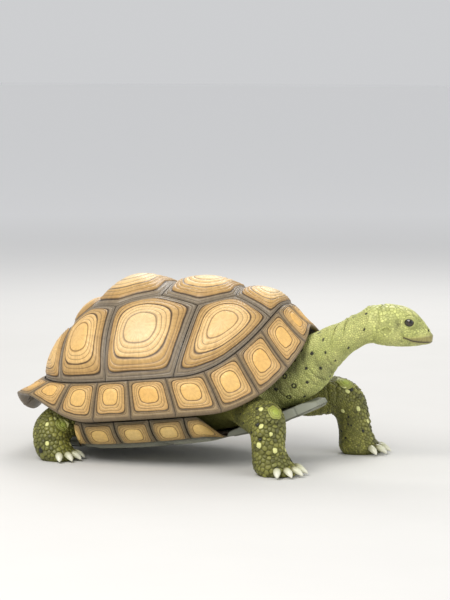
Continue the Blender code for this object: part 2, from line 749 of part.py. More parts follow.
def main():
    for old in list(bpy.data.objects):
        bpy.data.objects.remove(old)
    finishes = make_materials()
    shell_frame = make_frame("shell_frame", (0.0, 0.0, SHELL_LIFT), (0.0, -SHELL_PITCH, 0.0))
    head_frame = make_frame("head_frame", NAPE, HEAD_TURN)
    make_plates(finishes["scute"], shell_frame)
    make_marginals(finishes["marginal"], shell_frame)
    make_plastron(finishes["plastron"], shell_frame)
    make_limbs(finishes, shell_frame)
    make_head(finishes, head_frame)
    animal = make_frame("animal", (0.0, 0.0, 0.0))
    for made in list(bpy.data.objects):
        if made.parent is None and made is not animal:
            made.parent = animal
    animal.location.x = BODY_SHIFT


main()
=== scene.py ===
import math

import bmesh
import bpy
import numpy as np
from mathutils import Euler, Matrix, Vector, kdtree
from mathutils.bvhtree import BVHTree


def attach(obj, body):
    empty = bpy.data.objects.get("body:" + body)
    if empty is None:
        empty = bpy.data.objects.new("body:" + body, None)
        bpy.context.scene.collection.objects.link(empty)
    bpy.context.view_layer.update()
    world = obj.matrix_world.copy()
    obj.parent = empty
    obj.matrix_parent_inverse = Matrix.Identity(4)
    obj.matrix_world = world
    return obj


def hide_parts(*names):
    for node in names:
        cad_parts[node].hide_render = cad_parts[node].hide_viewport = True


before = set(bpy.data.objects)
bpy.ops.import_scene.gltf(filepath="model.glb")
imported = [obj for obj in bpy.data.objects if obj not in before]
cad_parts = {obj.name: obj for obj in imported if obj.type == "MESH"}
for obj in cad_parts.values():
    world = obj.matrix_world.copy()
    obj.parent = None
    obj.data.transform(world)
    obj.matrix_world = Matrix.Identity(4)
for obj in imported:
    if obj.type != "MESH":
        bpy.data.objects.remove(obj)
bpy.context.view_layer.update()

# ---------------------------------------------------------------- floor, light and camera
# A plain pale floor that the feet stand on, whitest far away so that it runs into the studio's pale
# air, two large soft lamps and one from behind, and a camera a little above the shell's middle.

FLOOR_SIZE = 60.0
FLOOR_NEAR, FLOOR_FAR = 1.2, 4.5  # distances at which the floor starts and ends turning white
CAMERA_AZIMUTH, CAMERA_ELEVATION = 22.0, 6.0
CAMERA_DISTANCE, CAMERA_LENS = 3.0, 143.0
CAMERA_AIM, LAMP_AIM = Vector((0.0031, 0.0, 0.200)), Vector((0.0, 0.0, 0.12))


def linear(hexa):
    """A screen colour such as 'c8a060' as the linear colour a shader takes."""
    screen = [int(hexa[i : i + 2], 16) / 255 for i in (0, 2, 4)]
    return (*[c / 12.92 if c <= 0.04045 else ((c + 0.055) / 1.055) ** 2.4 for c in screen], 1.0)


class Shader:
    """Builds one material's nodes. Sockets take outputs, numbers or screen colours such as 'c8a060'."""

    def __init__(self, name, roughness=0.6, **sockets):
        self.material = bpy.data.materials.new(name)
        self.material.use_nodes = True
        self.tree = self.material.node_tree
        self.surface = self.tree.nodes["Principled BSDF"]
        self.surface.inputs["Roughness"].default_value = roughness
        for socket, value in sockets.items():
            self.surface.inputs[socket.replace("_", " ")].default_value = value

    def add(self, kind, inputs=None, **settings):
        node = self.tree.nodes.new(f"ShaderNode{kind}")
        for key, value in settings.items():
            setattr(node, key, value)
        for key, value in (inputs or {}).items():
            if isinstance(value, bpy.types.NodeSocket):
                self.tree.links.new(value, node.inputs[key])
            else:
                node.inputs[key].default_value = linear(value) if isinstance(value, str) else value
        return node

    def wire(self, output, socket):
        self.tree.links.new(output, self.surface.inputs[socket])

    def attribute(self, name, kind="Fac"):
        return self.add("Attribute", attribute_name=name).outputs[kind]

    def place(self):
        return self.add("TexCoord").outputs["Object"]

    def noise(self, scale, detail, vector=None, rough=0.55, stretch=None):
        vector = vector or self.place()
        if stretch:
            vector = self.add("Mapping", {"Vector": vector, "Scale": stretch}).outputs[0]
        inputs = {"Vector": vector, "Scale": scale, "Detail": detail, "Roughness": rough}
        return self.add("TexNoise", inputs).outputs["Fac"]

    def math(self, operation, a, b=0.0):
        return self.add("Math", {0: a, 1: b}, operation=operation).outputs[0]

    def plus(self, a, b, weight):
        return self.math("ADD", a, self.math("MULTIPLY", b, weight))

    def spread(self, value, low, high, to_low=0.0, to_high=1.0):
        inputs = {"Value": value, "From Min": low, "From Max": high, "To Min": to_low, "To Max": to_high}
        return self.add("MapRange", inputs).outputs[0]

    def ramp(self, factor, stops):
        node = self.add("ValToRGB", {"Fac": factor})
        elements = node.color_ramp.elements
        while len(elements) < len(stops):
            elements.new(0.5)
        for element, (position, colour) in zip(elements, stops):
            element.position = position
            element.color = linear(colour)
        return node.outputs["Color"]

    def mix(self, factor, a, b, blend="MIX"):
        return self.add("Mix", {0: factor, 6: a, 7: b}, data_type="RGBA", blend_type=blend).outputs[2]

    def stain(self, colour, tint, value, *spread):
        """A colour darkened by a tint, more or less of it as a value spreads between two amounts."""
        return self.mix(self.spread(value, *spread), colour, tint, "MULTIPLY")

    def finish(self, colour, height=None, depth=0.0, strength=0.0, roughness=None):
        """Wires up the colour, the relief and the roughness."""
        self.wire(colour, "Base Color")
        if height is not None:
            inputs = {"Height": height, "Distance": depth, "Strength": strength}
            self.wire(self.add("Bump", inputs).outputs["Normal"], "Normal")
        if roughness is not None:
            self.wire(roughness, "Roughness")


def link(name, mesh, material=None):
    made = bpy.data.objects.new(name, mesh)
    bpy.context.scene.collection.objects.link(made)
    if material is not None:
        mesh.materials.append(material)
    return made


def show(name, mesh, material, slot, *nodes):
    """One visible piece of the animal, with the nodes of the part that it stands for."""
    piece = link(name, mesh, material)
    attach(piece, "root")
    if nodes:
        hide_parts(*nodes)


def paint(mesh, name, colour):
    rgba = np.concatenate([colour, np.ones((len(colour), 1))], axis=1)
    mesh.attributes.new(name, "FLOAT_COLOR", "POINT").data.foreach_set("color", rgba.ravel())


def store(mesh, name, values):
    mesh.attributes.new(name, "FLOAT", "POINT").data.foreach_set("value", np.asarray(values, float))


def coordinates(mesh, kind="co"):
    """The places of a mesh's points, or their normals, as rows of an array."""
    flat = np.empty(len(mesh.vertices) * 3)
    mesh.vertices.foreach_get(kind, flat)
    return flat.reshape(-1, 3)


def sleeve(bm, rings, ends_meet=False):
    """A tube through equal rings of points: a grid that is rolled up, then capped or closed on itself."""
    count, points = rings.shape[:2]
    rows = count if ends_meet else count - 1
    made = bmesh.ops.create_grid(bm, x_segments=points, y_segments=rows, size=1.0)["verts"]
    for vert in made:
        column = round((vert.co.x + 1) / 2 * points) % points
        row = round((vert.co.y + 1) / 2 * rows) % count
        vert.co = rings[row, column]
    bmesh.ops.remove_doubles(bm, verts=made, dist=1e-6)
    if not ends_meet:
        bmesh.ops.holes_fill(bm, edges=[e for e in bm.edges if e.is_boundary])


floor_bm = bmesh.new()
bmesh.ops.create_grid(floor_bm, x_segments=1, y_segments=1, size=FLOOR_SIZE / 2)
floor_mesh = bpy.data.meshes.new("floor")
floor_bm.to_mesh(floor_mesh)
floor_bm.free()


def mesh_from(bm, name):
    """The finished mesh of a bmesh, smooth, with its faces turned outwards."""
    bmesh.ops.recalc_face_normals(bm, faces=bm.faces)
    mesh = bpy.data.meshes.new(name)
    bm.to_mesh(mesh)
    bm.free()
    mesh.shade_smooth()
    return mesh


pale = Shader("pale_floor", 0.85)
floor_grain = pale.noise(9.0, 4.0)
floor_tone = pale.mix(floor_grain, "d5d4d1", "d9d8d5")
floor_reach = pale.add("VectorMath", {0: pale.place()}, operation="LENGTH").outputs["Value"]
floor_tone = pale.mix(pale.spread(floor_reach, FLOOR_NEAR, FLOOR_FAR), floor_tone, "fbfbfb")
pale.finish(floor_tone)
floor = link("floor", floor_mesh, pale.material)


def stand(name, data, aim, azimuth, elevation, distance):
    """Puts a lamp or camera round the animal and above the floor, by two angles, turned towards aim."""
    a, e = math.radians(azimuth), math.radians(elevation)
    towards = Vector((math.sin(a) * math.cos(e), -math.cos(a) * math.cos(e), math.sin(e)))
    made = link(name, data)
    made.location = aim + towards * distance
    made.rotation_euler = (-towards).to_track_quat("-Z", "Y").to_euler()
    return made


def soft_lamp(name, azimuth, elevation, distance, size, power, colour):
    data = bpy.data.lights.new(name, "AREA")
    data.size = size
    data.energy = power
    data.color = colour
    stand(name, data, LAMP_AIM, azimuth, elevation, distance)


soft_lamp("key_light", -12.0, 46.0, 2.4, 1.4, 40.0, (1.0, 0.97, 0.93))
soft_lamp("fill_light", 78.0, 22.0, 2.6, 1.8, 17.0, (0.95, 0.97, 1.0))
soft_lamp("back_light", 195.0, 42.0, 2.4, 1.2, 20.0, (1.0, 0.98, 0.95))
world = bpy.data.worlds.new("studio")
world.use_nodes = True
world.node_tree.nodes["Background"].inputs["Color"].default_value = (0.93, 0.94, 0.96, 1.0)
world.node_tree.nodes["Background"].inputs["Strength"].default_value = 0.66
bpy.context.scene.world = world
bpy.context.scene.view_settings.view_transform = "Standard"

camera_data = bpy.data.cameras.new("camera")
camera_data.sensor_fit = "AUTO"
camera_data.sensor_width = 36.0
camera_data.lens = CAMERA_LENS
camera = stand(
    "camera", camera_data, CAMERA_AIM, CAMERA_AZIMUTH, CAMERA_ELEVATION, CAMERA_DISTANCE
)
bpy.context.scene.camera = camera

# ---------------------------------------------------------------- large scutes of the carapace
# Each horn scute grew outwards from its areola, the rough pale plate of the hatchling, and every
# season left a raised band round it, browner and narrower towards the seam.

SEAM = 0.80  # radius, in the chart of the shell, of the seam between the dome and the rim
DOME_CENTRE_X = -0.010
SHELL_FRONT, SHELL_REAR, SHELL_HALF_WIDTH = 0.207, 0.197, 0.136
DOME_FRONT, DOME_REAR, DOME_HALF_WIDTH, DOME_TOP = 0.172, 0.154, 0.129, 0.193
PLAN_POWER = 2.3
SHELL_PITCH, SHELL_LIFT, BODY_SHIFT = math.radians(6.0), 0.027, -0.06785
HORN = 0.0066  # thickness of a scute
SCUTE_POINTS = 112
BAND_HEIGHT = 0.00060
SEASON_PROFILE = ((0.0, -1.0), (0.14, 0.35), (0.48, 0.75), (0.84, 0.25))  # share of a band, height
SEAM_ZONE = 0.85  # share of the way to the seam at which the last, greyest horn starts
WEAR = (0.0, 2.6, 5.5, 8.5)  # how far corners are worn round, at the seam and at levels further in
WEAR_RISE = 5.5  # levels of wear for the whole way from the seam to the areola's middle
WAVER = 0.012  # how far the bands stray from the scute's outline
SKIRT = 0.93  # share at which a scute that folds round the rim turns under it
SKIRT_SHARES = (SKIRT, 0.944, 0.958, 0.972, 0.985, 1.0)
SKIRT_LEVELS = (0.965, 1.0, 1.03, 1.09, 1.21, 1.37)  # how far down and under the rim each of these lies

rng = np.random.default_rng(41)


def smoothstep(low, high, x):
    t = np.clip((np.asarray(x, float) - low) / (high - low), 0.0, 1.0)
    return t * t * (3 - 2 * t)


def unit(vectors):
    return vectors / np.maximum(np.linalg.norm(vectors, axis=-1, keepdims=True), 1e-12)


def catmull(four, f):
    """A point of a smooth curve, a share f of the way from the second of four points to the third."""
    a, b, c, d = four
    return 0.5 * (2 * b + (c - a) * f + (2 * a - 5 * b + 4 * c - d) * f**2 + (3 * b - a - 3 * c + d) * f**3)


def bell(x, width):
    return np.exp(-((x / width) ** 2))


def circle(count):
    """Angles at even steps round a circle."""
    return np.linspace(0, 2 * math.pi, count, endpoint=False)


def height_on(line, x):
    """Height at x of a line that is given as pairs from the front back."""
    return np.interp(x, *zip(*line[::-1]))


def plan(phi, front, rear, half_width, taper):
    c, s = np.cos(phi), np.sin(phi)
    reach = (np.abs(c) ** PLAN_POWER + np.abs(s) ** PLAN_POWER) ** (-1 / PLAN_POWER)
    return DOME_CENTRE_X + np.where(c > 0, front, rear) * c * reach, half_width * s * reach * (1 - taper * c)


def turn_share(phi):
    return np.abs(np.arctan2(np.sin(phi), np.cos(phi))) / math.pi


def seam_point(phi):
    share = turn_share(phi)
    x, y = plan(phi, DOME_FRONT - DOME_CENTRE_X, DOME_REAR + DOME_CENTRE_X, DOME_HALF_WIDTH, 0.05)
    z = 0.084 + 0.072 * (1 - smoothstep(0.02, 0.36, share)) + 0.006 * smoothstep(0.6, 1.0, share)
    return np.stack([x, y, z], -1)


def rim_point(phi):
    share = turn_share(phi)
    x, y = plan(phi, SHELL_FRONT - DOME_CENTRE_X, SHELL_REAR + DOME_CENTRE_X, SHELL_HALF_WIDTH, 0.07)
    notch = 0.006 * bell(share, 0.05)
    rise = 0.090 * (1 - smoothstep(-0.03, 0.33, share)) + 0.034 * smoothstep(0.58, 0.76, share)
    z = 0.038 + rise - 0.028 * smoothstep(0.82, 1.0, share)
    return np.stack([x - notch, y, z], -1)


def shell_point(a, b):
    """The smooth form of the carapace in its own frame, at chart points: a to the head, b to the left."""
    a, b = np.asarray(a, float), np.asarray(b, float)
    v, phi = np.hypot(a, b), np.arctan2(b, a)
    seam, rim, share = seam_point(phi), rim_point(phi), turn_share(phi)
    widest = np.radians(64 + 17 * np.sin(math.pi * share) ** 2)
    angle = np.clip(v / SEAM, 0, 1) * widest
    out = (np.sin(angle) / np.sin(widest))[..., None]
    up = ((np.cos(angle) - np.cos(widest)) / (1 - np.cos(widest)))[..., None]
    centre, flat = np.array([DOME_CENTRE_X, 0.0, DOME_TOP]), np.array([1.0, 1.0, 0.0])
    dome = (centre + (seam - centre) * out) * flat + (seam + (centre - seam) * up) * (1 - flat)
    t = np.clip((v - SEAM) / (1 - SEAM), 0, None)[..., None]
    hang = 0.004 * np.sin(math.pi * np.clip(t, 0, 1)) * np.cos(2 * math.pi * share)[..., None]
    flange = seam + (rim - seam) * t - hang * np.array([0.0, 0.0, 1.0])
    return np.where((v > SEAM)[..., None], flange, dome)


def dome_place(chart):
    return shell_point(chart[..., 0], chart[..., 1])


def dome_normal(chart, step=0.004):
    radius = np.maximum(np.hypot(chart[..., 0], chart[..., 1]), 1e-6)
    chart = chart * np.minimum(1.0, (SEAM - 0.01) / radius)[..., None]
    a, b = chart[..., 0], chart[..., 1]
    along = shell_point(a + step, b) - shell_point(a - step, b)
    across = shell_point(a, b + step) - shell_point(a, b - step)
    return unit(np.cross(along, across))


def shell_to_world(points):
    """From the shell's own frame, which is pitched nose up, to the frame of the whole animal."""
    x, y, z = points[..., 0], points[..., 1], points[..., 2]
    c, s = math.cos(SHELL_PITCH), math.sin(SHELL_PITCH)
    return np.stack([x * c - z * s + BODY_SHIFT, y, x * s + z * c + SHELL_LIFT], -1)


def even_outline(corners, count):
    """count points at even steps along a closed outline, each corner kept on a point."""
    corners = np.asarray(corners, float)
    spans = np.linalg.norm(np.roll(corners, -1, axis=0) - corners, axis=1)
    shares = np.maximum(1, np.round(spans / spans.sum() * count).astype(int))
    while shares.sum() != count:
        few = shares.sum() < count
        shares[np.argmax(spans / shares) if few else np.argmin(spans / shares)] += 1 if few else -1
    points = []
    for here, after, share in zip(corners, np.roll(corners, -1, axis=0), shares):
        points += [here + (after - here) * k / share for k in range(share)]
    return np.array(points)


def rounded(outline, sigma):
    """The outline with its corners worn round, by a circular blur."""
    if sigma <= 0:
        return outline
    count = len(outline)
    steps = np.minimum(np.arange(count), count - np.arange(count))
    weights = np.exp(-0.5 * (steps / sigma) ** 2)
    weights /= weights.sum()
    blurred = np.real(np.fft.ifft(np.fft.fft(outline, axis=0) * np.fft.fft(weights)[:, None], axis=0))
    middle = outline.mean(axis=0)
    size = np.linalg.norm(outline - middle, axis=1).mean() / np.linalg.norm(blurred - middle, axis=1).mean()
    return middle + (blurred - middle) * size


def wobble(angle, waves, draw, low=2):
    """A smooth random curve round a scute, between about -1 and 1."""
    total = np.zeros_like(angle)
    for wave in range(low, low + waves):
        total += draw.normal() * np.sin(wave * angle + draw.uniform(0, 2 * math.pi)) / math.sqrt(waves)
    return total


def season_rings(draw, areola, seasons, marks):
    """Shares of the way from the areola's middle to the seam at which the bands of growth start."""
    widths = np.linspace(1.25, 0.7, seasons) * draw.uniform(0.72, 1.28, seasons)
    starts = areola + (1 - areola) * np.concatenate([[0.0], np.cumsum(widths) / widths.sum()])
    for mark in marks:
        starts[1 + np.argmin(np.abs(starts[1:-1] - mark))] = mark
    return np.sort(starts)


class Scutes:
    """Collects the meshes of one node's scutes, and joins them to one piece."""

    def __init__(self):
        self.parts, self.faces, self.offset = [], [], 0

    def add(
        self,
        corners,  # outline in the chart, with the heart of the areola in it
        heart,
        place,  # functions from the chart to points and to normals
        normal,
        lift,  # height of the areola over the smooth form
        seasons,
        areola,  # share of the scute
        horn=HORN,
        core=None,  # a point inside, where the back of the scute is drawn together
        tone=0.5,
        points=SCUTE_POINTS,
        band=BAND_HEIGHT,
        blunt=1.6,
        inset=0.0012,
        walls=(0.0022, HORN),
        step=0.0012,  # how far the greyest horn lies lower
        calm=lambda chart: 1.0,  # where the bands are flat
        marks=(0.60, 0.85),  # shares at which the darkest seasons lie
        edge=None,  # where the scute folds round the rim
        swell=lambda chart: np.ones(len(chart)),  # how many times thicker it is
    ):
        """One scute, grown band by band from its areola to an outline in the chart."""
        draw = np.random.default_rng(rng.integers(1 << 30))
        outline = even_outline(corners, points)
        middle = outline.mean(axis=0)
        heart = middle if heart is None else np.asarray(heart, float)
        outline = outline + unit(middle - outline) * inset
        face = outline
        if edge is not None:
            reach = np.minimum(1.0, (edge - heart[1]) / np.maximum(outline[:, 1] - heart[1], 1e-6))
            face = heart + (outline - heart) * np.where(outline[:, 1] > edge, reach, 1.0)[:, None]
        worn = np.array([rounded(face, sigma * points / SCUTE_POINTS) for sigma in WEAR])
        angle = circle(points)
        starts = season_rings(draw, areola, seasons, marks)
        profile = [(0.02, 0.0), (0.08, 0.0), (0.15, 0.0), (0.22, 0.0), (areola * 0.93, 0.25)]
        for start, stop in zip(starts, starts[1:]):
            profile += [(start + (stop - start) * share, height) for share, height in SEASON_PROFILE]
        profile += [(0.985, -0.6), (1.0, -1.6)]
        if edge is not None:
            skirt = [(share, -0.4) for share in SKIRT_SHARES[:-2]]
            profile = [point for point in profile if point[0] < SKIRT] + skirt + profile[-2:]
        share, height = np.array(sorted(profile)).T
        level = np.clip((1 - share) * WEAR_RISE, 0, len(WEAR) - 1.001)
        part = (level % 1.0)[:, None, None]
        ring = worn[level.astype(int)] * (1 - part) + worn[level.astype(int) + 1] * part
        loose = np.where(share < 0.98, WAVER * np.sin(math.pi * np.minimum(1.0, share / 0.98)), 0.0)[:, None]
        waver = wobble(angle, 7, draw) + 0.6 * np.array([wobble(angle, 5, draw, 4) for _ in share])
        chart = heart + (ring - heart) * (share[:, None] * (1 + loose * waver))[..., None]
        turned = np.clip((share - SKIRT) / (1 - SKIRT), 0, 1)[:, None, None]
        chart = chart + (outline - face) * turned
        if edge is not None:
            far = outline[:, 1] - heart[1]
            level = np.interp(share, SKIRT_SHARES, SKIRT_LEVELS)[:, None] - heart[1]
            ray = heart + (outline - heart) * np.clip(level / np.maximum(far, 1e-6), 0, 1)[..., None]
            lapped = (smoothstep(0, 0.08, outline[:, 1] - edge) * (share >= SKIRT)[:, None])[..., None]
            chart = chart + (ray - chart) * lapped
        top = lift * (1.0 - 1.1 * np.maximum(share, 0.10) ** blunt)
        top = top - step * smoothstep(SEAM_ZONE - 0.05, SEAM_ZONE, share)
        depth = band * np.where(share > areola * 0.9, 1.0, 0.5)[:, None]
        depth = depth * (1 + 0.35 * np.array([wobble(angle, 6, draw, 3) for _ in share]))
        depth = depth * calm(chart)
        raised = place(chart) + normal(chart) * (top[:, None] + depth * height[:, None])[..., None]
        rows = list(raised)
        for deep in walls:
            rows.append(place(outline) - normal(outline) * deep * swell(outline)[:, None])
        if core is None:
            for inner in (0.97, 0.5, 0.0):
                chart = heart + (worn[0] - heart) * inner
                rows.append(place(chart) - normal(chart) * horn * swell(chart)[:, None])
        else:
            rows.append(np.repeat(np.asarray(core)[None], points, axis=0))
        extra = len(rows) - len(share)
        growth = np.repeat(np.concatenate([share, np.ones(extra)])[:, None], points, axis=1)
        ridge = np.repeat(np.concatenate([height, np.full(extra, -2.0)])[:, None], points, axis=1)
        self.weave(np.array(rows), growth, ridge, angle, tone, draw.uniform(0, 90))

    def weave(self, rows, growth, ridge, angle, tone, seed):
        """One closed scute: a grid of rings whose first and last are drawn together to points."""
        count, points = growth.shape
        bm = bmesh.new()
        bmesh.ops.create_grid(bm, x_segments=points, y_segments=count - 1, size=1.0)
        mesh = bpy.data.meshes.new("scute")
        bm.to_mesh(mesh)
        bm.free()
        flat = coordinates(mesh)
        column = np.rint((flat[:, 0] + 1) / 2 * points).astype(int) % points
        row = np.rint((flat[:, 1] + 1) / 2 * (count - 1)).astype(int)
        sides = np.array([p.vertices[:] for p in mesh.polygons])
        bpy.data.meshes.remove(mesh)
        ids = row * points + column
        ids = np.where(row == 0, 0, ids)
        faces = ids[sides]
        co = rows.reshape(-1, 3).copy()
        co[0] = rows[0].mean(axis=0)
        turn = np.stack([np.tile(np.cos(angle), count), np.tile(np.sin(angle), count), growth.ravel()], -1)
        same = np.ones(len(co))
        self.parts.append((co, growth.ravel(), ridge.ravel(), turn, tone * same, seed * same))
        for face in faces:
            corners = list(dict.fromkeys(face + self.offset))
            if len(corners) > 2:
                self.faces.append(corners)
        self.offset += len(co)

    def finish(self, name, material, slot, *nodes):
        co = shell_to_world(np.concatenate([part[0] for part in self.parts]))
        mesh = bpy.data.meshes.new(name)
        mesh.from_pydata(co.tolist(), [], self.faces)
        for index, key in ((1, "growth"), (2, "ridge"), (4, "tone"), (5, "seed")):
            store(mesh, key, np.concatenate([part[index] for part in self.parts]))
        turn = np.concatenate([part[3] for part in self.parts])
        mesh.attributes.new("turn", "FLOAT_VECTOR", "POINT").data.foreach_set("vector", turn.ravel())
        bm = bmesh.new()
        bm.from_mesh(mesh)
        bmesh.ops.remove_doubles(bm, verts=bm.verts, dist=2e-6)
        loose = [v for v in bm.verts if not v.link_faces]
        bmesh.ops.delete(bm, geom=loose, context="VERTS")
        bmesh.ops.recalc_face_normals(bm, faces=bm.faces)
        bm.to_mesh(mesh)
        bm.free()
        mesh.shade_smooth()
        show(name, mesh, material, slot, *nodes)


def horn_material(name, stops, groove, rough, tint, streaks=0.26, seam=("33271a", 0.8)):
    """Horn that is palest in its areola and browner band by band, and darker in the grooves between the
    bands.
    """
    horn = Shader(name, rough, Coat_Weight=0.10, Coat_Roughness=0.35)
    growth, ridge, tone = horn.attribute("growth"), horn.attribute("ridge"), horn.attribute("tone")
    turn, seed = horn.attribute("turn", "Vector"), horn.attribute("seed")
    cloud = horn.noise(34.0, 5.0)
    bands = horn.ramp(horn.plus(growth, horn.math("SUBTRACT", cloud, 0.5), 0.045), stops)
    shift = horn.add("CombineXYZ", {"X": seed, "Y": seed, "Z": 0.0}).outputs[0]
    around = horn.add("VectorMath", {0: turn, 1: (7.0, 7.0, 0.6)}, operation="MULTIPLY").outputs[0]
    around = horn.add("VectorMath", {0: around, 1: shift}, operation="ADD").outputs[0]
    rays = horn.noise(1.7, 4.0, around, 0.6)
    warm = horn.mix(tone, tint[0], tint[1])
    pale = horn.spread(growth, 0.29, 0.40, 0.80, 0.25)
    pale = horn.math("MULTIPLY", pale, horn.spread(growth, 0.50, 0.64, 1.0, 0.0))
    colour = horn.mix(pale, bands, warm)
    colour = horn.stain(colour, "6d4f2c", rays, 0.42, 0.75, 0.0, streaks)
    fine = horn.noise(260.0, 5.0)
    colour = horn.stain(colour, "8a6a40", fine, 0.35, 0.8, 0.0, 0.22)
    # Darker where the relief of the bands is low, in the grooves between them.
    colour = horn.stain(colour, "4a3822", ridge, 0.1, -0.9, 0.0, groove)
    colour = horn.mix(horn.spread(ridge, -1.0, -2.0, 0.0, seam[1]), colour, seam[0])
    lines = horn.math("SINE", horn.plus(horn.math("MULTIPLY", growth, 150.0), cloud, 9.0))
    rough_areola = horn.spread(growth, 0.18, 0.34, 1.0, 0.15)
    grains = horn.math("MULTIPLY", horn.noise(900.0, 3.0), rough_areola)
    height = horn.plus(horn.plus(grains, lines, 0.10), horn.noise(120.0, 6.0), 0.8)
    gloss = horn.spread(fine, 0.2, 0.8, rough - 0.10, rough + 0.14)
    horn.finish(colour, height, 0.00030, 0.75, gloss)
    return horn.material


CARAPACE_STOPS = (
    (0.000, "f2d9a6"),
    (0.310, "eecb88"),
    (0.328, "6e4a22"),
    (0.344, "6e4a22"),
    (0.365, "ecc98c"),
    (0.580, "e4bd7c"),
    (0.596, "5f4423"),
    (0.612, "5f4423"),
    (0.635, "cda768"),
    (0.825, "b99358"),
    (0.845, "4f3d26"),
    (0.862, "4f3d26"),
    (0.890, "93836a"),
    (1.000, "7b6f5c"),
)
carapace_horn = horn_material("carapace_horn", CARAPACE_STOPS, 0.62, 0.42, ("f4dcae", "f2bf68"))


def on_circle(degrees, radius=SEAM):
    return radius * math.cos(math.radians(degrees)), radius * math.sin(math.radians(degrees))


def arc(start, stop, step=2.5):
    count = max(2, round(abs(stop - start) / step))
    return [on_circle(start + (stop - start) * k / count) for k in range(1, count + 1)]


FRONT_CORNER, REAR_CORNER = 20.0, 152.0
COSTAL_SEAMS = (68.0, 97.0, 125.0)
VERTEBRAL_SEAMS = ((0.47, 0.17), (0.105, 0.22), (-0.275, 0.21), (-0.50, 0.15))
VERTEBRAL_WAISTS = ((0.29, 0.29), (-0.085, 0.31), (-0.395, 0.27))
s12, s23, s34, s45 = VERTEBRAL_SEAMS
w2, w3, w4 = VERTEBRAL_WAISTS
halves = (
    [*arc(0.0, FRONT_CORNER), s12],
    [s12, w2, s23],
    [s23, w3, s34],
    [s34, w4, s45],
    [s45, on_circle(REAR_CORNER), *arc(REAR_CORNER, 180.0)[:-1]],
)
lifts = (0.008, 0.010, 0.015, 0.010, 0.006)
tones = (0.15, 0.30, 0.02, 0.45, 0.75)
for number, (half, lift, tone) in enumerate(zip(halves, lifts, tones), 1):
    corners = list(half) + [(a, -b) for a, b in reversed(half)]
    corners = ([on_circle(0.0)] if number == 1 else []) + corners
    corners = corners[: len(half)] + [on_circle(180.0)] + corners[len(half) :] if number == 5 else corners
    scute = Scutes()
    heart = np.mean([half[0], half[-1]], axis=0) * np.array([1.0, 0.0]) if 1 < number < 5 else None
    scute.add(corners, heart, dome_place, dome_normal, lift, seasons=7, areola=0.34, tone=tone)
    scute.finish(f"vertebral_scute_{number}", carapace_horn, "scute", f"vertebral_{number}")

e12, e23, e34 = COSTAL_SEAMS
outlines = (
    [on_circle(FRONT_CORNER), *arc(FRONT_CORNER, e12), w2, s12],
    [on_circle(e12), *arc(e12, e23), w3, s23, w2],
    [on_circle(e23), *arc(e23, e34), w4, s34, w3],
    [on_circle(e34), *arc(e34, REAR_CORNER), s45, w4],
)
lifts, tones = (0.007, 0.007, 0.006, 0.005), (0.62, 0.30, 0.85, 0.70)
for number, (outline, lift, tone) in enumerate(zip(outlines, lifts, tones), 1):
    for place, mirror in (("left", 1), ("right", -1)):
        corners = np.array(outline) * np.array([1, mirror])
        corners = corners if mirror > 0 else corners[::-1]
        scute = Scutes()
        middle = even_outline(corners, SCUTE_POINTS).mean(axis=0)
        heart = middle + np.array([-0.015, -0.030 * mirror])
        scute.add(corners, heart, dome_place, dome_normal, lift, seasons=8, areola=0.33, tone=tone)
        scute.finish(f"costal_scute_{place}_{number}", carapace_horn, "scute", f"costal_{place}_{number}")

# ---------------------------------------------------------------- marginal scutes
# Small scutes that fold round the rim: most of each is on the outer face, and the rest laps under the
# edge to where the skin starts. Eleven stand on each side, and one shield closes the rim over the tail.

MARGINAL_SEAMS = (0, 14, 28, 42, 56, 71, 86, 101, 117, 134, 151, 168, 192)
TURN_SCALE = 0.05  # chart units for each degree round the shell
SEAM_LAP = 0.05  # degrees by which neighbours would overlap, before each is drawn in by its inset
LIP = 0.011
LAP_KNOTS = (0.0, 0.30, 0.60, 0.875, 1.0, 1.09, 1.23, 1.38)  # down the face, round the edge, back below


def rim_inward(phi):
    """Level directions from the rim in under the shell."""
    rim, flat = rim_point(phi), np.array([1.0, 1.0, 0.0])
    level = unit((seam_point(phi) - rim) * flat)
    return unit(level + 0.35 * unit(np.array([DOME_CENTRE_X, 0.0, 0.0]) - rim * flat))


def rim_section(phi):
    """Points down the outside of the rim, round its edge and back below, for every angle in phi."""
    c, s = np.cos(phi), np.sin(phi)
    start = SEAM + 0.0035
    wall = dome_normal(np.stack([start * c, start * s], -1))
    top, rim = shell_point(start * c, start * s), rim_point(phi)
    inward, below = rim_inward(phi), np.array([0.0, 0.0, -1.0])
    root = top - wall * LIP
    points = [top] + [shell_point(v * c, v * s) for v in (0.86, 0.92, 0.975)]
    return points + [rim, rim + inward * 0.004 + below * 0.0035, (rim + root) / 2 + below * 0.0035, root]


def rim_place(chart, mirror):
    points = np.array(rim_section(np.radians(chart[..., 0] / TURN_SCALE)))
    points = np.concatenate([2 * points[:1] - points[1:2], points, 2 * points[-1:] - points[-2:-1]])
    where = np.interp(chart[..., 1], LAP_KNOTS, np.arange(len(LAP_KNOTS)))
    step = np.minimum(where.astype(int), len(LAP_KNOTS) - 2)
    f = (where - step)[..., None]
    four = [points[(step + k, *np.indices(step.shape))] for k in range(4)]
    return catmull(four, f) * np.array([1.0, mirror, 1.0])


def rim_normal(chart, mirror, step=0.020):
    along = rim_place(chart + [step, 0.0], mirror) - rim_place(chart - [step, 0.0], mirror)
    down = rim_place(chart + [0.0, step], mirror) - rim_place(chart - [0.0, step], mirror)
    return unit(np.cross(down, along)) * mirror


RIM_STOPS = (
    (0.000, "f4c878"),
    (0.400, "f0c170"),
    (0.417, "6b4820"),
    (0.433, "6b4820"),
    (0.455, "d9b476"),
    (0.755, "c79f62"),
    (0.775, "54401f"),
    (0.795, "54401f"),
    (0.825, "a58c63"),
    (1.000, "83735a"),
)
rim_horn = horn_material("rim_horn", RIM_STOPS, 0.60, 0.44, ("f2cd84", "f0b961"))


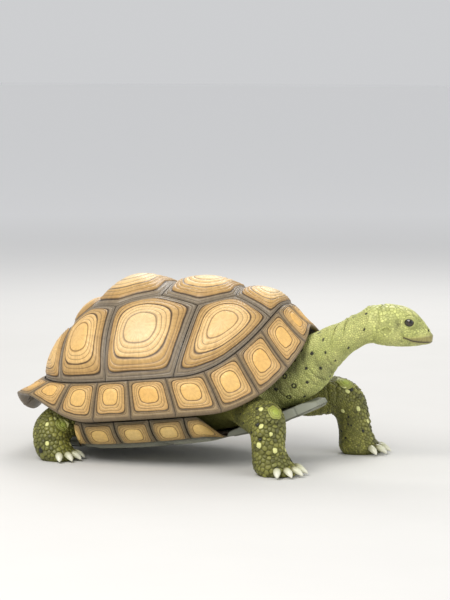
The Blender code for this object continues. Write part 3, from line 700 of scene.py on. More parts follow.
def add_marginal(scutes, index, mirror):
    first, last = MARGINAL_SEAMS[index] - SEAM_LAP, MARGINAL_SEAMS[index + 1] + SEAM_LAP
    low, high = first * TURN_SCALE, last * TURN_SCALE
    corners = [(low, 0.006), (high, 0.006), (high, 1.0), (high, 1.37), (low, 1.37), (low, 1.0)]
    section = np.array(rim_section(np.radians([(first + last) / 2])))[:, 0]
    core = (section[2] + section[6]) / 2 * np.array([1.0, mirror, 1.0])
    scutes.add(
        corners,
        ((low + high) / 2, 0.44),
        lambda chart: rim_place(chart, mirror),
        lambda chart: rim_normal(chart, mirror),
        0.0024,
        seasons=6,
        areola=0.42,
        marks=(0.78,),
        edge=1.0,
        core=core,
        tone=rng.uniform(0.2, 0.9),
        points=88,
        band=0.00048,
        blunt=2.2,
        inset=0.004,
        walls=(0.0010,),
        step=0.0003,
        calm=lambda chart: 1 - 0.95 * smoothstep(0.86, 1.0, chart[..., 1]),
    )


for place, (first, last) in {"front": (0, 3), "bridge": (3, 8), "rear": (8, 11)}.items():
    for side, mirror in (("left", 1.0), ("right", -1.0)):
        scutes = Scutes()
        for index in range(first, last):
            add_marginal(scutes, index, mirror)
        scutes.finish(f"marginal_scutes_{place}_{side}", rim_horn, "marginal", f"marginals_{place}_{side}")
tail_shield = Scutes()
add_marginal(tail_shield, 11, 1.0)
tail_shield.finish("tail_shield", rim_horn, "marginal", "supracaudal")

# ---------------------------------------------------------------- bone under the seam
# The plates of horn are grown onto bone. A ring of it shows dark in the groove where the dome meets the rim,
# and closes the shell between the scutes there. Its near black colour is painted shade for the groove.

BONE_STEPS = 300
BONE_SECTION = (
    # metres up the dome (minus) or down the rim (plus) from the seam, and how deep under them
    (-0.0040, 0.0040),
    (0.0, 0.0034),
    (0.0030, 0.0018),
    (0.0045, 0.0060),
    (0.0, 0.0100),
    (-0.0050, 0.0090),
)

# Painted shade: the bone is coloured near black to stand for the shade in the groove.
bone = Shader("seam_bone_painted_shade", 0.62)
bone_cloud = bone.noise(240.0, 5.0)
bone.finish(bone.mix(bone_cloud, "2a2219", "5d4f39"), bone_cloud, 0.0004, 0.7)

turn = circle(BONE_STEPS)
around = np.stack([np.cos(turn), np.sin(turn)], -1)
seam, wall = seam_point(turn), dome_normal(around * SEAM)
up = unit(dome_place(around * (SEAM - 0.02)) - seam)
down = unit(dome_place(around * (SEAM + 0.02)) - seam)
flange = unit(wall - (wall * down).sum(-1, keepdims=True) * down)
bone_rings = []
for along, deep in BONE_SECTION:
    way = up if along < 0 else down
    under = wall if along < 0 else flange if along > 0 else unit(wall + flange)
    bone_rings.append(seam + way * abs(along) - under * deep)
bone_bm = bmesh.new()
sleeve(bone_bm, shell_to_world(np.array(bone_rings).transpose(1, 0, 2)), ends_meet=True)
show("seam_bone_painted_shade", mesh_from(bone_bm, "seam_bone_painted_shade"), bone.material, "marginal")

# ---------------------------------------------------------------- plastron
# The flat underside: six pairs of grey scutes meet on the middle line, and between them and the rim a
# row of small scutes with pale centres covers each bridge.

PLASTRON_THICKNESS = 0.0066
FRONT_LOBE_THICKNESS = 0.0130
BRIDGE_FRONT, BRIDGE_REAR, BRIDGE_RUN = 0.082, -0.078, 0.020
BRIDGE_TURN = math.radians(84)
FLAT_SHARE = 0.62  # share of a section, from the middle line to its edge, that is flat
LOBE_ENDS = (
    # distance along, share of the half width left where the ends are rounded
    (-0.160, 0.45),
    (-0.153, 0.75),
    (-0.140, 0.93),
    (-0.122, 1.0),
    (0.185, 1.0),
    (0.200, 0.88),
    (0.208, 0.60),
)
rim_sweep = rim_point(np.linspace(0.0, math.pi, 721))[::-1]


def belly(x):
    sag = 0.006 * np.maximum(0.0, 1 - ((x + 0.015) / 0.13) ** 2)
    front = 0.026 * np.maximum(0.0, (x - 0.105) / 0.103) ** 1.7
    return front + 0.006 * np.maximum(0.0, (-0.10 - x) / 0.06) ** 2 - sag


def lobe_half_width(x):
    front = np.clip((0.208 - x) / (0.208 - BRIDGE_FRONT), 0, 1)
    rear = np.clip((x + 0.160) / (BRIDGE_REAR + 0.160), 0, 1)
    wide = 0.025 + 0.041 * np.sin(front * math.pi / 2) ** 1.1
    return np.where(x > 0, wide, 0.034 + 0.040 * np.sin(rear * math.pi / 2) ** 0.7)


def plastron_place(chart):
    x, s = chart[..., 0], chart[..., 1]
    side, s = np.where(s < 0, -1.0, 1.0), np.abs(s)
    rim_y = np.interp(x, rim_sweep[:, 0], rim_sweep[:, 1])
    rim_z = np.interp(x, rim_sweep[:, 0], rim_sweep[:, 2])
    share = smoothstep(BRIDGE_REAR - BRIDGE_RUN, BRIDGE_REAR, x) * (
        1 - smoothstep(BRIDGE_FRONT, BRIDGE_FRONT + BRIDGE_RUN, x)
    )
    ends = np.interp(x, *zip(*LOBE_ENDS))
    edge_y = (1 - share) * lobe_half_width(x) * ends + share * (rim_y - 0.0125)
    edge_z = share * (rim_z - 0.0055 - belly(x))
    flat = np.minimum(edge_y * 0.72, 0.074)
    angle = np.clip((s - FLAT_SHARE) / (1 - FLAT_SHARE), 0, 1.02) * BRIDGE_TURN
    turned = flat + (edge_y - flat) * np.sin(angle) / math.sin(BRIDGE_TURN)
    y = np.where(s < FLAT_SHARE, flat * s / FLAT_SHARE, turned)
    z = edge_z * (1 - np.cos(angle)) / (1 - math.cos(BRIDGE_TURN)) + belly(x)
    return np.stack([x, y * side, z], -1)


def plastron_normal(chart, step=0.003):
    along = plastron_place(chart + [step, 0.0]) - plastron_place(chart - [step, 0.0])
    across = plastron_place(chart + [0.0, step * 4]) - plastron_place(chart - [0.0, step * 4])
    return unit(np.cross(across, along))


PLASTRON_STOPS = (
    (0.00, "bdbca2"),
    (0.30, "adae98"),
    (0.34, "7c7c68"),
    (0.40, "a5a692"),
    (0.70, "9b9d8a"),
    (0.85, "87897a"),
    (1.00, "6c6d60"),
)
BRIDGE_STOPS = (
    (0.00, "eaca82"),
    (0.44, "dcb768"),
    (0.46, "6b4d24"),
    (0.48, "6b4d24"),
    (0.51, "bd9c5e"),
    (0.78, "a88b56"),
    (0.80, "57431f"),
    (0.84, "887653"),
    (1.00, "6d624a"),
)
plastron_horn = horn_material(
    "plastron_horn", PLASTRON_STOPS, 0.35, 0.46, ("bcbba2", "b4b194"), 0.2, ("8f9180", 1.0)
)
bridge_horn = horn_material("bridge_horn", BRIDGE_STOPS, 0.55, 0.44, ("eaca82", "e4bb6a"), 0.25)
BRIDGE_LINE = 0.77  # share across at which the plastron's scutes end and the bridge's start
CHART_RUN = 8  # the plastron's chart is stretched so much along, so that a step is alike both ways
PLASTRON_SCUTES = (
    # front seam at the middle line and at the edge, rear seam at the edge and at the middle line
    ((0.2075, 0.0), (0.2075, 1.0), (0.186, 1.0), (0.166, 0.0)),
    ((0.166, 0.0), (0.186, 1.0), (0.100, 1.0), (0.106, 0.0)),
    ((0.106, 0.0), (0.1014, BRIDGE_LINE), (0.026, BRIDGE_LINE), (0.080, 0.0)),
    ((0.080, 0.0), (0.026, BRIDGE_LINE), (-0.0883, BRIDGE_LINE), (-0.056, 0.0)),
    ((-0.056, 0.0), (-0.098, 1.0), (-0.132, 1.0), (-0.116, 0.0)),
    ((-0.116, 0.0), (-0.132, 1.0), (-0.1595, 1.0), (-0.1595, 0.0)),
)


def run_place(chart):
    return plastron_place(chart * [1 / CHART_RUN, 1.0])


def run_normal(chart):
    return plastron_normal(chart * [1 / CHART_RUN, 1.0])


def lobe_swell(chart):
    """How many times thicker than the rest the front lobe is, up to its worn end."""
    x = chart[:, 0] / CHART_RUN
    more = FRONT_LOBE_THICKNESS / PLASTRON_THICKNESS - 1
    return 1 + more * smoothstep(0.098, 0.135, x) * (1 - 0.85 * smoothstep(0.190, 0.209, x))


BRIDGE_SEAMS = (
    # distance along at the plastron's edge, and at the rim
    (0.1014, 0.1000),
    (0.066, 0.066),
    (0.022, 0.022),
    (-0.025, -0.025),
    (-0.070, -0.070),
    (-0.0883, -0.0978),
)
BRIDGE_SPAN = (BRIDGE_LINE, 1.0)


def add_belly_scute(scutes, outline, mirror, lift, **more):
    """One scute of the flat underside, its outline given as distances along and shares across."""
    corners = np.array([(x * CHART_RUN, min(max(s, 0.004), 0.998) * mirror) for x, s in outline])
    tone = rng.uniform(0.2, 0.8)
    horn = PLASTRON_THICKNESS
    scutes.add(corners, None, run_place, run_normal, lift, horn=horn, tone=tone, inset=0.004, **more)


underside, bridges = Scutes(), Scutes()
walls = (0.0015, 0.5 * PLASTRON_THICKNESS, 0.84 * PLASTRON_THICKNESS)
for outline in PLASTRON_SCUTES:
    for mirror in (1, -1):
        add_belly_scute(
            underside, outline, mirror, 0.0006, seasons=8, areola=0.33, points=96, band=0.00030,
            walls=walls, swell=lobe_swell,
        )
for front_seam, rear_seam in zip(BRIDGE_SEAMS, BRIDGE_SEAMS[1:]):
    outline = [*zip(front_seam, BRIDGE_SPAN), *zip(rear_seam[::-1], BRIDGE_SPAN[::-1])]
    for mirror in (1, -1):
        add_belly_scute(
            bridges, outline, mirror, 0.0016, seasons=5, areola=0.47, points=72, band=0.00045,
            walls=(0.0015, PLASTRON_THICKNESS), marks=(0.81,),
        )
underside.finish("plastron_scutes", plastron_horn, "plastron", "plastron")
bridges.finish("bridge_scutes", bridge_horn, "marginal", "plastron")

# ---------------------------------------------------------------- skin
# One loose skin covers neck, head, legs and tail and closes the shell's openings. It is pale on the
# neck and head, dark olive on the legs, folds where a limb bends, and lies under a coat of scales.

NECK = (
    # x, y, z, half width, half depth
    (0.112, 0.0000, 0.0900, 0.0330, 0.0320),
    (0.142, 0.0000, 0.1015, 0.0365, 0.0360),
    (0.180, 0.0010, 0.1215, 0.0345, 0.0345),
    (0.213, 0.0040, 0.1450, 0.0290, 0.0285),
    (0.239, 0.0070, 0.1635, 0.0255, 0.0255),
    (0.2605, 0.0105, 0.1775, 0.0240, 0.0242),
)
RIGHT_FORELEG = (
    (0.098, -0.048, 0.078, 0.019, 0.021),
    (0.125, -0.062, 0.072, 0.021, 0.023),
    (0.148, -0.080, 0.067, 0.023, 0.024),
    (0.163, -0.093, 0.062, 0.0235, 0.0245),
    (0.167, -0.099, 0.048, 0.0215, 0.0225),
    (0.167, -0.099, 0.032, 0.0215, 0.0215),
    (0.171, -0.097, 0.016, 0.0245, 0.0250),
    (0.176, -0.096, 0.006, 0.0260, 0.0280),
    (0.178, -0.096, 0.000, 0.0225, 0.0245),
)
LEFT_FORELEG = (
    (0.098, 0.048, 0.078, 0.019, 0.021),
    (0.128, 0.064, 0.073, 0.020, 0.022),
    (0.158, 0.075, 0.070, 0.0235, 0.0245),
    (0.187, 0.089, 0.074, 0.0240, 0.0250),
    (0.203, 0.096, 0.062, 0.0225, 0.0235),
    (0.208, 0.098, 0.044, 0.0215, 0.0225),
    (0.211, 0.097, 0.029, 0.0215, 0.0220),
    (0.215, 0.096, 0.015, 0.0245, 0.0250),
    (0.219, 0.095, 0.006, 0.0260, 0.0280),
    (0.221, 0.095, 0.000, 0.0225, 0.0245),
)
RIGHT_HINDLEG = (
    (-0.080, -0.048, 0.060, 0.022, 0.024),
    (-0.100, -0.064, 0.055, 0.024, 0.025),
    (-0.119, -0.081, 0.047, 0.0235, 0.0245),
    (-0.1285, -0.092, 0.037, 0.0225, 0.0235),
    (-0.1265, -0.0965, 0.0230, 0.0225, 0.0240),
    (-0.1195, -0.0955, 0.008, 0.0245, 0.0270),
    (-0.1170, -0.0950, 0.000, 0.0215, 0.0240),
)
LEFT_HINDLEG = (
    (-0.085, 0.048, 0.060, 0.022, 0.024),
    (-0.108, 0.064, 0.054, 0.024, 0.025),
    (-0.132, 0.080, 0.046, 0.0235, 0.0245),
    (-0.1490, 0.091, 0.036, 0.0225, 0.0235),
    (-0.1530, 0.0955, 0.0230, 0.0225, 0.0240),
    (-0.1500, 0.0955, 0.008, 0.0245, 0.0270),
    (-0.1490, 0.0950, 0.000, 0.0215, 0.0240),
)
TAIL = (
    (-0.115, 0.000, 0.066, 0.019, 0.017),
    (-0.140, 0.000, 0.062, 0.016, 0.014),
    (-0.158, 0.003, 0.052, 0.012, 0.011),
    (-0.170, 0.010, 0.040, 0.008, 0.0075),
    (-0.177, 0.019, 0.031, 0.0035, 0.0035),
)
HEAD_SECTIONS = (
    # distance from the nape, half width, crown, throat
    (0.0004, 0.0240, 0.0242, -0.0242),
    (0.0090, 0.0252, 0.0252, -0.0247),
    (0.0200, 0.0262, 0.0275, -0.0250),
    (0.0330, 0.0258, 0.0280, -0.0244),
    (0.0455, 0.0228, 0.0255, -0.0230),
    (0.0560, 0.0186, 0.0200, -0.0210),
    (0.0655, 0.0140, 0.0120, -0.0188),
    (0.0735, 0.0092, 0.0040, -0.0160),
    (0.0775, 0.0048, -0.0030, -0.0120),
)
NAPE = np.array([0.2605 + BODY_SHIFT, 0.0105, 0.1775])
HEAD_TURN = np.array(Euler((0.0, math.radians(7.0), math.radians(11.0))).to_matrix())
EYE_RADIUS = 0.0079
EYE_CENTRES = [np.array([0.0492, side * 0.0145, 0.0102]) for side in (1, -1)]
SNOUT = np.array([0.078, 0.0, -0.002])
LEG_COAT, NECK_COAT, HEAD_COAT = 0.0009, 0.0005, 0.0005  # room left for the scales, in metres
UNDER_PLATES = 0.0134  # depth of the trunk's skin under the smooth form of the dome
NECK_FOLD, LEG_FOLD, THROAT_FOLD = 0.0105, 0.0088, 0.0075  # metres from one fold to the next
SKIN_VOXEL = 0.0036
HEAD_SQUARENESS = 2.3
CLAW_ROOT, CLAW_FAN, TOE_HEIGHT = 0.007, math.radians(27), 0.0095
LEG_STATIONS = {
    # stations, the way that the foot points, claws and their length
    "foreleg_right": (RIGHT_FORELEG, (1, -0.25), 5, 0.019),
    "foreleg_left": (LEFT_FORELEG, (1, 0.25), 5, 0.019),
    "hindleg_right": (RIGHT_HINDLEG, (1, -0.35), 4, 0.017),
    "hindleg_left": (LEFT_HINDLEG, (1, 0.35), 4, 0.017),
}


def catmull_rom(stations, count):
    rows = np.asarray(stations, float)
    padded = np.vstack([2 * rows[0] - rows[1], rows, 2 * rows[-1] - rows[-2]])
    where = np.linspace(0, len(rows) - 1, count)
    i = np.minimum(where.astype(int), len(rows) - 2)
    f = (where - i)[:, None]
    return catmull([padded[i + k] for k in range(4)], f)


class Limb:
    """The line down the middle of a neck, leg or tail, with its half width and half depth on the way."""

    def __init__(self, stations, way, end=None, coat=LEG_COAT, count=97):
        rows = catmull_rom(stations, count)
        self.centres = rows[:, :3] + np.array([BODY_SHIFT, 0.0, 0.0])
        self.sizes = rows[:, 3:] - coat
        self.runs = unit(np.gradient(self.centres, axis=0))
        if end is not None:
            turned = smoothstep(0.35, 0.80, np.linspace(0, 1, count))[:, None]
            self.runs = unit(self.runs * (1 - turned) + np.array(end) * turned)
        depth, depths = np.array(way, float), []
        for run in self.runs[::-1]:
            depth = unit(depth - run * run.dot(depth))
            depths.insert(0, depth)
        self.depths = np.array(depths)
        self.widths = np.cross(self.runs, self.depths)
        steps = np.linalg.norm(np.diff(self.centres, axis=0), axis=1)
        self.far = np.concatenate([[0.0], np.cumsum(steps)])

    def rings(self, points=48):
        angle = circle(points)
        across = self.widths[:, None] * (self.sizes[:, :1] * np.cos(angle))[..., None]
        fore = self.depths[:, None] * (self.sizes[:, 1:] * np.sin(angle))[..., None]
        return self.centres[:, None] + across + fore

    def locate(self, points):
        """Index on the line, metres along it, angle from the width to the depth, and share of the radius."""
        gaps = (self.centres**2).sum(axis=1) - 2 * points @ self.centres.T
        near = np.argmin(gaps, axis=1)
        off = points - self.centres[near]
        along = self.far[near] + (off * self.runs[near]).sum(axis=1)
        across = (off * self.widths[near]).sum(axis=1) / self.sizes[near, 0]
        fore = (off * self.depths[near]).sum(axis=1) / self.sizes[near, 1]
        beyond = np.linalg.norm(off, axis=1) / self.sizes[near].mean(axis=1)
        ends = (near == 0) | (near == len(self.far) - 1)
        return near, along, np.arctan2(fore, across), np.where(ends, beyond, np.hypot(across, fore))


DOWN = (0.0, 0.0, -1.0)
FACE_WAY = HEAD_TURN @ np.array([1.0, 0.0, 0.0])
neck = Limb(NECK, (0, 0, 1), FACE_WAY, NECK_COAT)
legs = {name: Limb(stations, (*way, 0), DOWN) for name, (stations, way, _, _) in LEG_STATIONS.items()}
tail = Limb(TAIL, (0, 0, 1))


def to_head(points):
    return (points - NAPE) @ HEAD_TURN


def from_head(points):
    return points @ HEAD_TURN.T + NAPE


def one_side(points):
    """Points in the head's frame with those of its right side mirrored to the left."""
    return np.stack([points[:, 0], np.abs(points[:, 1]), points[:, 2]], -1)


def turn_from(angle, degrees):
    """How far each angle is from one given in degrees, the short way round."""
    return np.angle(np.exp(1j * (angle - math.radians(degrees))))


def trunk_rings():
    """The trunk inside the shell: under the plates, in at the rim, and down to the plastron."""
    phi = circle(56)
    around = np.stack([np.cos(phi), np.sin(phi)], -1)
    levels = [around * v for v in (0.20, 0.42, 0.62, 0.76)]
    rings = [dome_place(level) - dome_normal(level) * UNDER_PLATES for level in levels]
    chart = around * (SEAM - 0.004)
    inward = rim_inward(phi)
    lip = dome_place(chart) - dome_normal(chart) * (LIP + 0.002) + inward * 0.004
    floor_x = DOME_CENTRE_X + np.where(around[:, 0] > 0, 0.150, 0.128) * around[:, 0]
    floor = np.stack([floor_x, 0.070 * around[:, 1], 0.0085 + belly(floor_x)], -1)
    for share in (0.0, 0.2, 0.4, 0.6, 0.8):
        bulge = 0.010 * math.sin(math.pi * share) * np.cos(phi) ** 2
        rings.append(lip + (floor - lip) * share - inward * bulge[:, None])
    return shell_to_world(np.array(rings + [floor]))


def head_rings(count=44, points=56):
    rows = catmull_rom(HEAD_SECTIONS, count)
    rows = np.vstack([[-0.008, 0.0240, 0.0242, -0.0242], rows])
    angle = circle(points)
    c, s = np.cos(angle), np.sin(angle)
    reach = (np.abs(c) ** HEAD_SQUARENESS + np.abs(s) ** HEAD_SQUARENESS) ** (-1 / HEAD_SQUARENESS)
    x, width, crown, throat = (column[:, None] for column in rows.T)
    half_height = (crown - throat) / 2 - HEAD_COAT
    y = (width - HEAD_COAT) * c * reach
    z = (crown + throat) / 2 + half_height * s * reach
    return from_head(np.stack([x + 0 * y, y, z], -1))


def smoothed(bm, rounds, verts=None):
    axes = dict(use_axis_x=True, use_axis_y=True, use_axis_z=True)
    for _ in range(rounds):
        bmesh.ops.smooth_vert(bm, verts=verts or bm.verts, factor=0.5, **axes)


def field(points, size, seed, waves=14):
    """A smooth random field, mostly between -1 and 1, whose swells are about size metres across."""
    draw = np.random.default_rng(seed)
    ways = unit(draw.normal(size=(waves, 3))) * (math.pi / size) * draw.uniform(0.7, 1.3, (waves, 1))
    return np.sin(points @ ways.T + draw.uniform(0, 2 * math.pi, waves)).sum(axis=1) / math.sqrt(waves)


body = bmesh.new()
sleeve(body, trunk_rings())
sleeve(body, neck.rings())
sleeve(body, head_rings())
for limb in (*legs.values(), tail):
    sleeve(body, limb.rings())
bmesh.ops.recalc_face_normals(body, faces=body.faces)
rough_mesh = bpy.data.meshes.new("rough_body")
body.to_mesh(rough_mesh)
body.free()
rough = link("rough_body", rough_mesh)
remesh = rough.modifiers.new("one skin", "REMESH")
remesh.mode = "VOXEL"
remesh.voxel_size = SKIN_VOXEL
bpy.context.view_layer.update()
skin_mesh = bpy.data.meshes.new_from_object(rough.evaluated_get(bpy.context.evaluated_depsgraph_get()))
bpy.data.objects.remove(rough)
skin_mesh.name = "skin"


def limb_shares(points):
    """How far each point belongs to the neck, to each leg and to the tail, from 0 to 1."""
    shares = {}
    for name, limb in (("neck", neck), *legs.items(), ("tail", tail)):
        _, along, _, out = limb.locate(points)
        root = 0.010 if name == "neck" else 0.016
        shares[name] = smoothstep(1.45, 1.10, out) * smoothstep(root, root + 0.012, along)
    head = to_head(points)
    shares["head"] = smoothstep(-0.003, 0.006, head[:, 0]) * smoothstep(0.05, 0.04, np.abs(head[:, 1]))
    return shares


skin_bm = bmesh.new()
skin_bm.from_mesh(skin_mesh)
smoothed(skin_bm, 7)
nape = [v for v in skin_bm.verts if -0.022 < to_head(np.array(v.co))[0] < 0.012]
nape = [v for v in nape if (v.co - Vector(NAPE)).length < 0.045]
smoothed(skin_bm, 14, nape)
for level in ("limbs", "head", "eyes and snout"):
    co = np.array([v.co for v in skin_bm.verts])
    shares = limb_shares(co)
    if level == "limbs":
        wanted = np.max(list(shares.values()), axis=0) > 0.1
    elif level == "head":
        wanted = shares["head"] > 0.2
    else:
        head = to_head(co)
        eye_gap = np.min([np.linalg.norm(head - centre, axis=1) for centre in EYE_CENTRES], axis=0)
        wanted = (eye_gap < 0.0135) | (np.linalg.norm(head - SNOUT, axis=1) < 0.012)
    chosen = {v for v, w in zip(skin_bm.verts, wanted) if w}
    edges = [e for e in skin_bm.edges if e.verts[0] in chosen and e.verts[1] in chosen]
    bmesh.ops.subdivide_edges(skin_bm, edges=edges, cuts=1, use_grid_fill=True)
    fresh = [v for v in skin_bm.verts if v in chosen or v.index < 0 or v.index >= len(co)]
    smoothed(skin_bm, 2, fresh)
    skin_bm.verts.index_update()
skin_bm.to_mesh(skin_mesh)
skin_bm.free()

# Folds, creases, toes and the hollows of the face, which are worked into the skin.


def claw_roots(name):
    """Root and level direction of each claw of a foot."""
    stations, way, count, _ = LEG_STATIONS[name]
    x, y, _, half_width, half_depth = stations[-2]
    forward = Vector((*way, 0)).normalized()
    across = Vector((-forward.y, forward.x, 0))
    found = []
    for number in range(count):
        aim = Matrix.Rotation(CLAW_FAN * (number - (count - 1) / 2), 3, "Z") @ forward
        reach = forward * (half_depth * aim.dot(forward)) + across * (half_width * aim.dot(across))
        found.append((Vector((x + BODY_SHIFT, y, TOE_HEIGHT)) + reach - aim * CLAW_ROOT, aim))
    return found


def crease(distance, width):
    """Height of the skin across a crease: a narrow valley between two soft folds."""
    return 0.45 * bell(distance, 3.2 * width) - 1.25 * bell(distance, width)


NECK_CREASES = (
    # metres along the neck, degrees round it, half the arc in degrees, depth, slant
    (0.1400, 50, 62, 1.0, 0.004),
    (0.1240, 32, 48, 0.9, 0.006),
    (0.1120, -20, 40, 0.5, -0.004),
    (0.0880, -35, 50, 0.5, -0.006),
)


def near_angle(angle, middle, half):
    """1 at the angle middle, in degrees, falling to 0 at half degrees from it."""
    return smoothstep(half, half * 0.45, np.degrees(np.abs(turn_from(angle, middle))))


def neck_relief(points, shares):
    _, along, angle, _ = neck.locate(points)
    drift = 0.32 * field(points, 0.030, 3) + 0.10 * field(points, 0.010, 4)
    folds = bell(np.sin(math.pi * (along / NECK_FOLD + drift)), 0.42)
    baggy = 0.35 + 0.65 * smoothstep(-0.4, 0.9, field(points, 0.026, 5))
    under = 0.55 + 0.45 * near_angle(angle, -90, 130)
    height = -0.00100 * folds * baggy * under * smoothstep(0.150, 0.125, along)
    for place, middle, half, depth, slant in NECK_CREASES:
        for turn, way in ((middle, 1), (180 - middle, -1)):
            off = turn_from(angle, turn) * way
            fold = crease(along - place - slant * off, 0.0016)
            height = height + 0.0021 * depth * fold * near_angle(angle, turn, half)
    height = height + 0.0010 * field(points, 0.034, 6) * smoothstep(0.150, 0.10, along)
    return height * shares["neck"]


LEG_CREASES = {
    # metres along the leg, degrees round it, half the arc in degrees, depth
    "foreleg": (
        (0.088, 40, 60, 1.0),
        (0.098, 20, 55, 0.8),
        (0.118, 60, 55, 1.0),
        (0.080, 230, 80, 1.2),
        (0.090, 250, 80, 1.0),
    ),
    "hindleg": (
        (0.060, 60, 70, 0.9),
        (0.082, 60, 60, 1.0),
        (0.070, 240, 80, 1.0),
    ),
}


def leg_relief(name, points, share):
    _, along, angle, _ = legs[name].locate(points)
    drift = 0.35 * field(points, 0.022, 11) + 0.12 * field(points, 0.008, 12)
    folds = bell(np.sin(math.pi * (along / LEG_FOLD + drift)), 0.45)
    height = -0.00060 * folds * smoothstep(-0.3, 0.9, field(points, 0.020, 13))
    for place, middle, half, depth in LEG_CREASES[name.split("_")[0]]:
        height = height + 0.0016 * depth * crease(along - place, 0.0015) * near_angle(angle, middle, half)
    return height * share


def toe_relief(points):
    height = np.zeros(len(points))
    for name in legs:
        for root, aim in claw_roots(name):
            toe = np.array(root + aim * (CLAW_ROOT - 0.0005)) + np.array([0.0, 0.0, 0.0005])
            height += 0.0021 * np.exp(-(((points - toe) ** 2).sum(axis=1) / 0.0052**2))
    return height


# Lines on the side of the head, from the snout back: distance from the nape, height.
MOUTH = (
    (0.095, -0.0112),
    (0.074, -0.0112),
    (0.066, -0.0120),
    (0.056, -0.0118),
    (0.046, -0.0085),
    (0.038, -0.0040),
)
BEAK_LINE = ((0.0775, -0.0008), (0.070, -0.0028), (0.062, -0.0052), (0.054, -0.0066), (0.047, -0.0072))
CHIN_LINE = ((0.0765, -0.0150), (0.066, -0.0168), (0.056, -0.0162), (0.047, -0.0116))


def line_gap(points, corners):
    """Distance in the head's x and z from a line through the corners."""
    flat, gap = points[:, [0, 2]], np.full(len(points), 1.0)
    for start, stop in zip(np.array(corners), np.array(corners)[1:]):
        run = stop - start
        share = np.clip((flat - start) @ run / run.dot(run), 0, 1)
        gap = np.minimum(gap, np.linalg.norm(flat - start - share[:, None] * run, axis=1))
    return gap


def blob(points, x, y, z, wide, long, high):
    """1 at a place on the head, falling away over a length, a width and a height."""
    off = (points - np.array([x, y, z])) / np.array([long, wide, high])
    return np.exp(-(off**2).sum(axis=1))


def tree_of(mesh):
    return BVHTree.FromPolygons([v.co[:] for v in mesh.vertices], [p.vertices[:] for p in mesh.polygons])


EAR, EAR_LONG, EAR_HIGH = np.array([0.0235, 0.0250, -0.0035]), 0.0056, 0.0048
NOSTRIL = from_head(np.array([0.0735, 0.0052, 0.0028]))
NOSTRIL = to_head(np.array(tree_of(skin_mesh).find_nearest(NOSTRIL)[0]))


def head_relief(head):
    """Relief of the face in the head's own frame, the same on both sides."""
    points = one_side(head)
    x, y, z = points.T
    height = 0.0016 * blob(points, 0.026, 0.025, -0.013, 0.010, 0.013, 0.008)
    height += 0.0010 * blob(points, 0.047, 0.014, 0.0195, 0.006, 0.012, 0.004)
    height -= 0.0013 * blob(points, 0.0360, 0.024, 0.0060, 0.006, 0.0045, 0.010)
    height -= 0.0009 * blob(points, 0.0600, 0.012, 0.0040, 0.006, 0.006, 0.005)
    height -= 0.0010 * blob(points, 0.0560, 0.0, 0.0185, 0.0030, 0.012, 0.02)
    mouth_gap = line_gap(points, MOUTH)
    height -= 0.0016 * bell(mouth_gap, 0.0010) * smoothstep(0.0360, 0.0420, x)
    height += 0.0007 * bell(mouth_gap, 0.0040) * smoothstep(0.0340, 0.0420, x)
    ear = np.hypot((x - EAR[0]) / EAR_LONG, (z - EAR[2]) / EAR_HIGH)
    side = smoothstep(0.018, 0.022, y)
    height -= side * (0.0010 * smoothstep(1.05, 0.85, ear) - 0.0006 * bell(ear - 1.18, 0.16))
    hole = np.linalg.norm((points - NOSTRIL) / np.array([1.0, 1.0, 0.8]), axis=1)
    height -= 0.0024 * smoothstep(0.00150, 0.00070, hole)
    height += 0.0005 * bell(hole - 0.0022, 0.0006)
    height += 0.00025 * field(head, 0.010, 21) * smoothstep(0.06, 0.03, x)
    drift = 0.3 * field(head, 0.012, 22)
    throat = bell(np.sin(math.pi * (x / THROAT_FOLD + drift)), 0.45)
    height -= 0.00045 * throat * smoothstep(-0.010, -0.020, z) * smoothstep(0.046, 0.030, x)
    back = 0.0012 * crease(x - 0.0115 - 0.10 * np.abs(z - 0.012) - 0.0006 * field(head, 0.02, 23), 0.0016)
    return height + back * smoothstep(-0.004, 0.006, z)


EYE_OPENING = (0.0062, 0.0052)


def set_eyes(head):
    """Draws the skin over the eyeballs as lids, and hollows it where the eye looks out."""
    for centre in EYE_CENTRES:
        side = np.sign(centre[1])
        off = head - centre
        gap = np.linalg.norm(off, axis=1)
        outward = smoothstep(-0.95, -0.70, off[:, 1] * side / gap)
        cover = EYE_RADIUS + 0.0011 * smoothstep(0.014, 0.008, gap)
        lifted = head + off / gap[:, None] * np.maximum(0.0, cover - gap)[:, None] * outward[:, None]
        off = lifted - centre
        opening = np.hypot(off[:, 0] / EYE_OPENING[0], (off[:, 2] + 0.0002) / EYE_OPENING[1])
        hollow = smoothstep(1.22, 1.05, opening) * (off[:, 1] * side > 0.001)
        gap = np.linalg.norm(off, axis=1)
        sunk = centre + off / gap[:, None] * np.minimum(gap, 0.78 * EYE_RADIUS)[:, None]
        groove = 0.0009 * bell(opening - 1.80, 0.12) * (off[:, 1] * side > 0)
        lifted = lifted - off / gap[:, None] * groove[:, None]
        head = lifted * (1 - hollow[:, None]) + sunk * hollow[:, None]
    return head


def skin_relief(points, shares):
    height = neck_relief(points, shares) + toe_relief(points) * (points[:, 2] < 0.03)
    for name in legs:
        height = height + leg_relief(name, points, shares[name])
    height = height + head_relief(to_head(points)) * shares["head"]
    return height + 0.0005 * field(points, 0.016, 31) * smoothstep(0.3, 0.0, shares["head"])


co, out = coordinates(skin_mesh), coordinates(skin_mesh, "normal")
shares = limb_shares(co)
relief = skin_relief(co, shares)
co = co + out * relief[:, None]
face = shares["head"] > 0.5
co[face] = from_head(set_eyes(to_head(co[face])))
co[:, 2] = np.where(co[:, 2] < 0.0022, 0.0003, co[:, 2])
skin_mesh.vertices.foreach_set("co", co.ravel())
skin_mesh.update()
skin_mesh.shade_smooth()

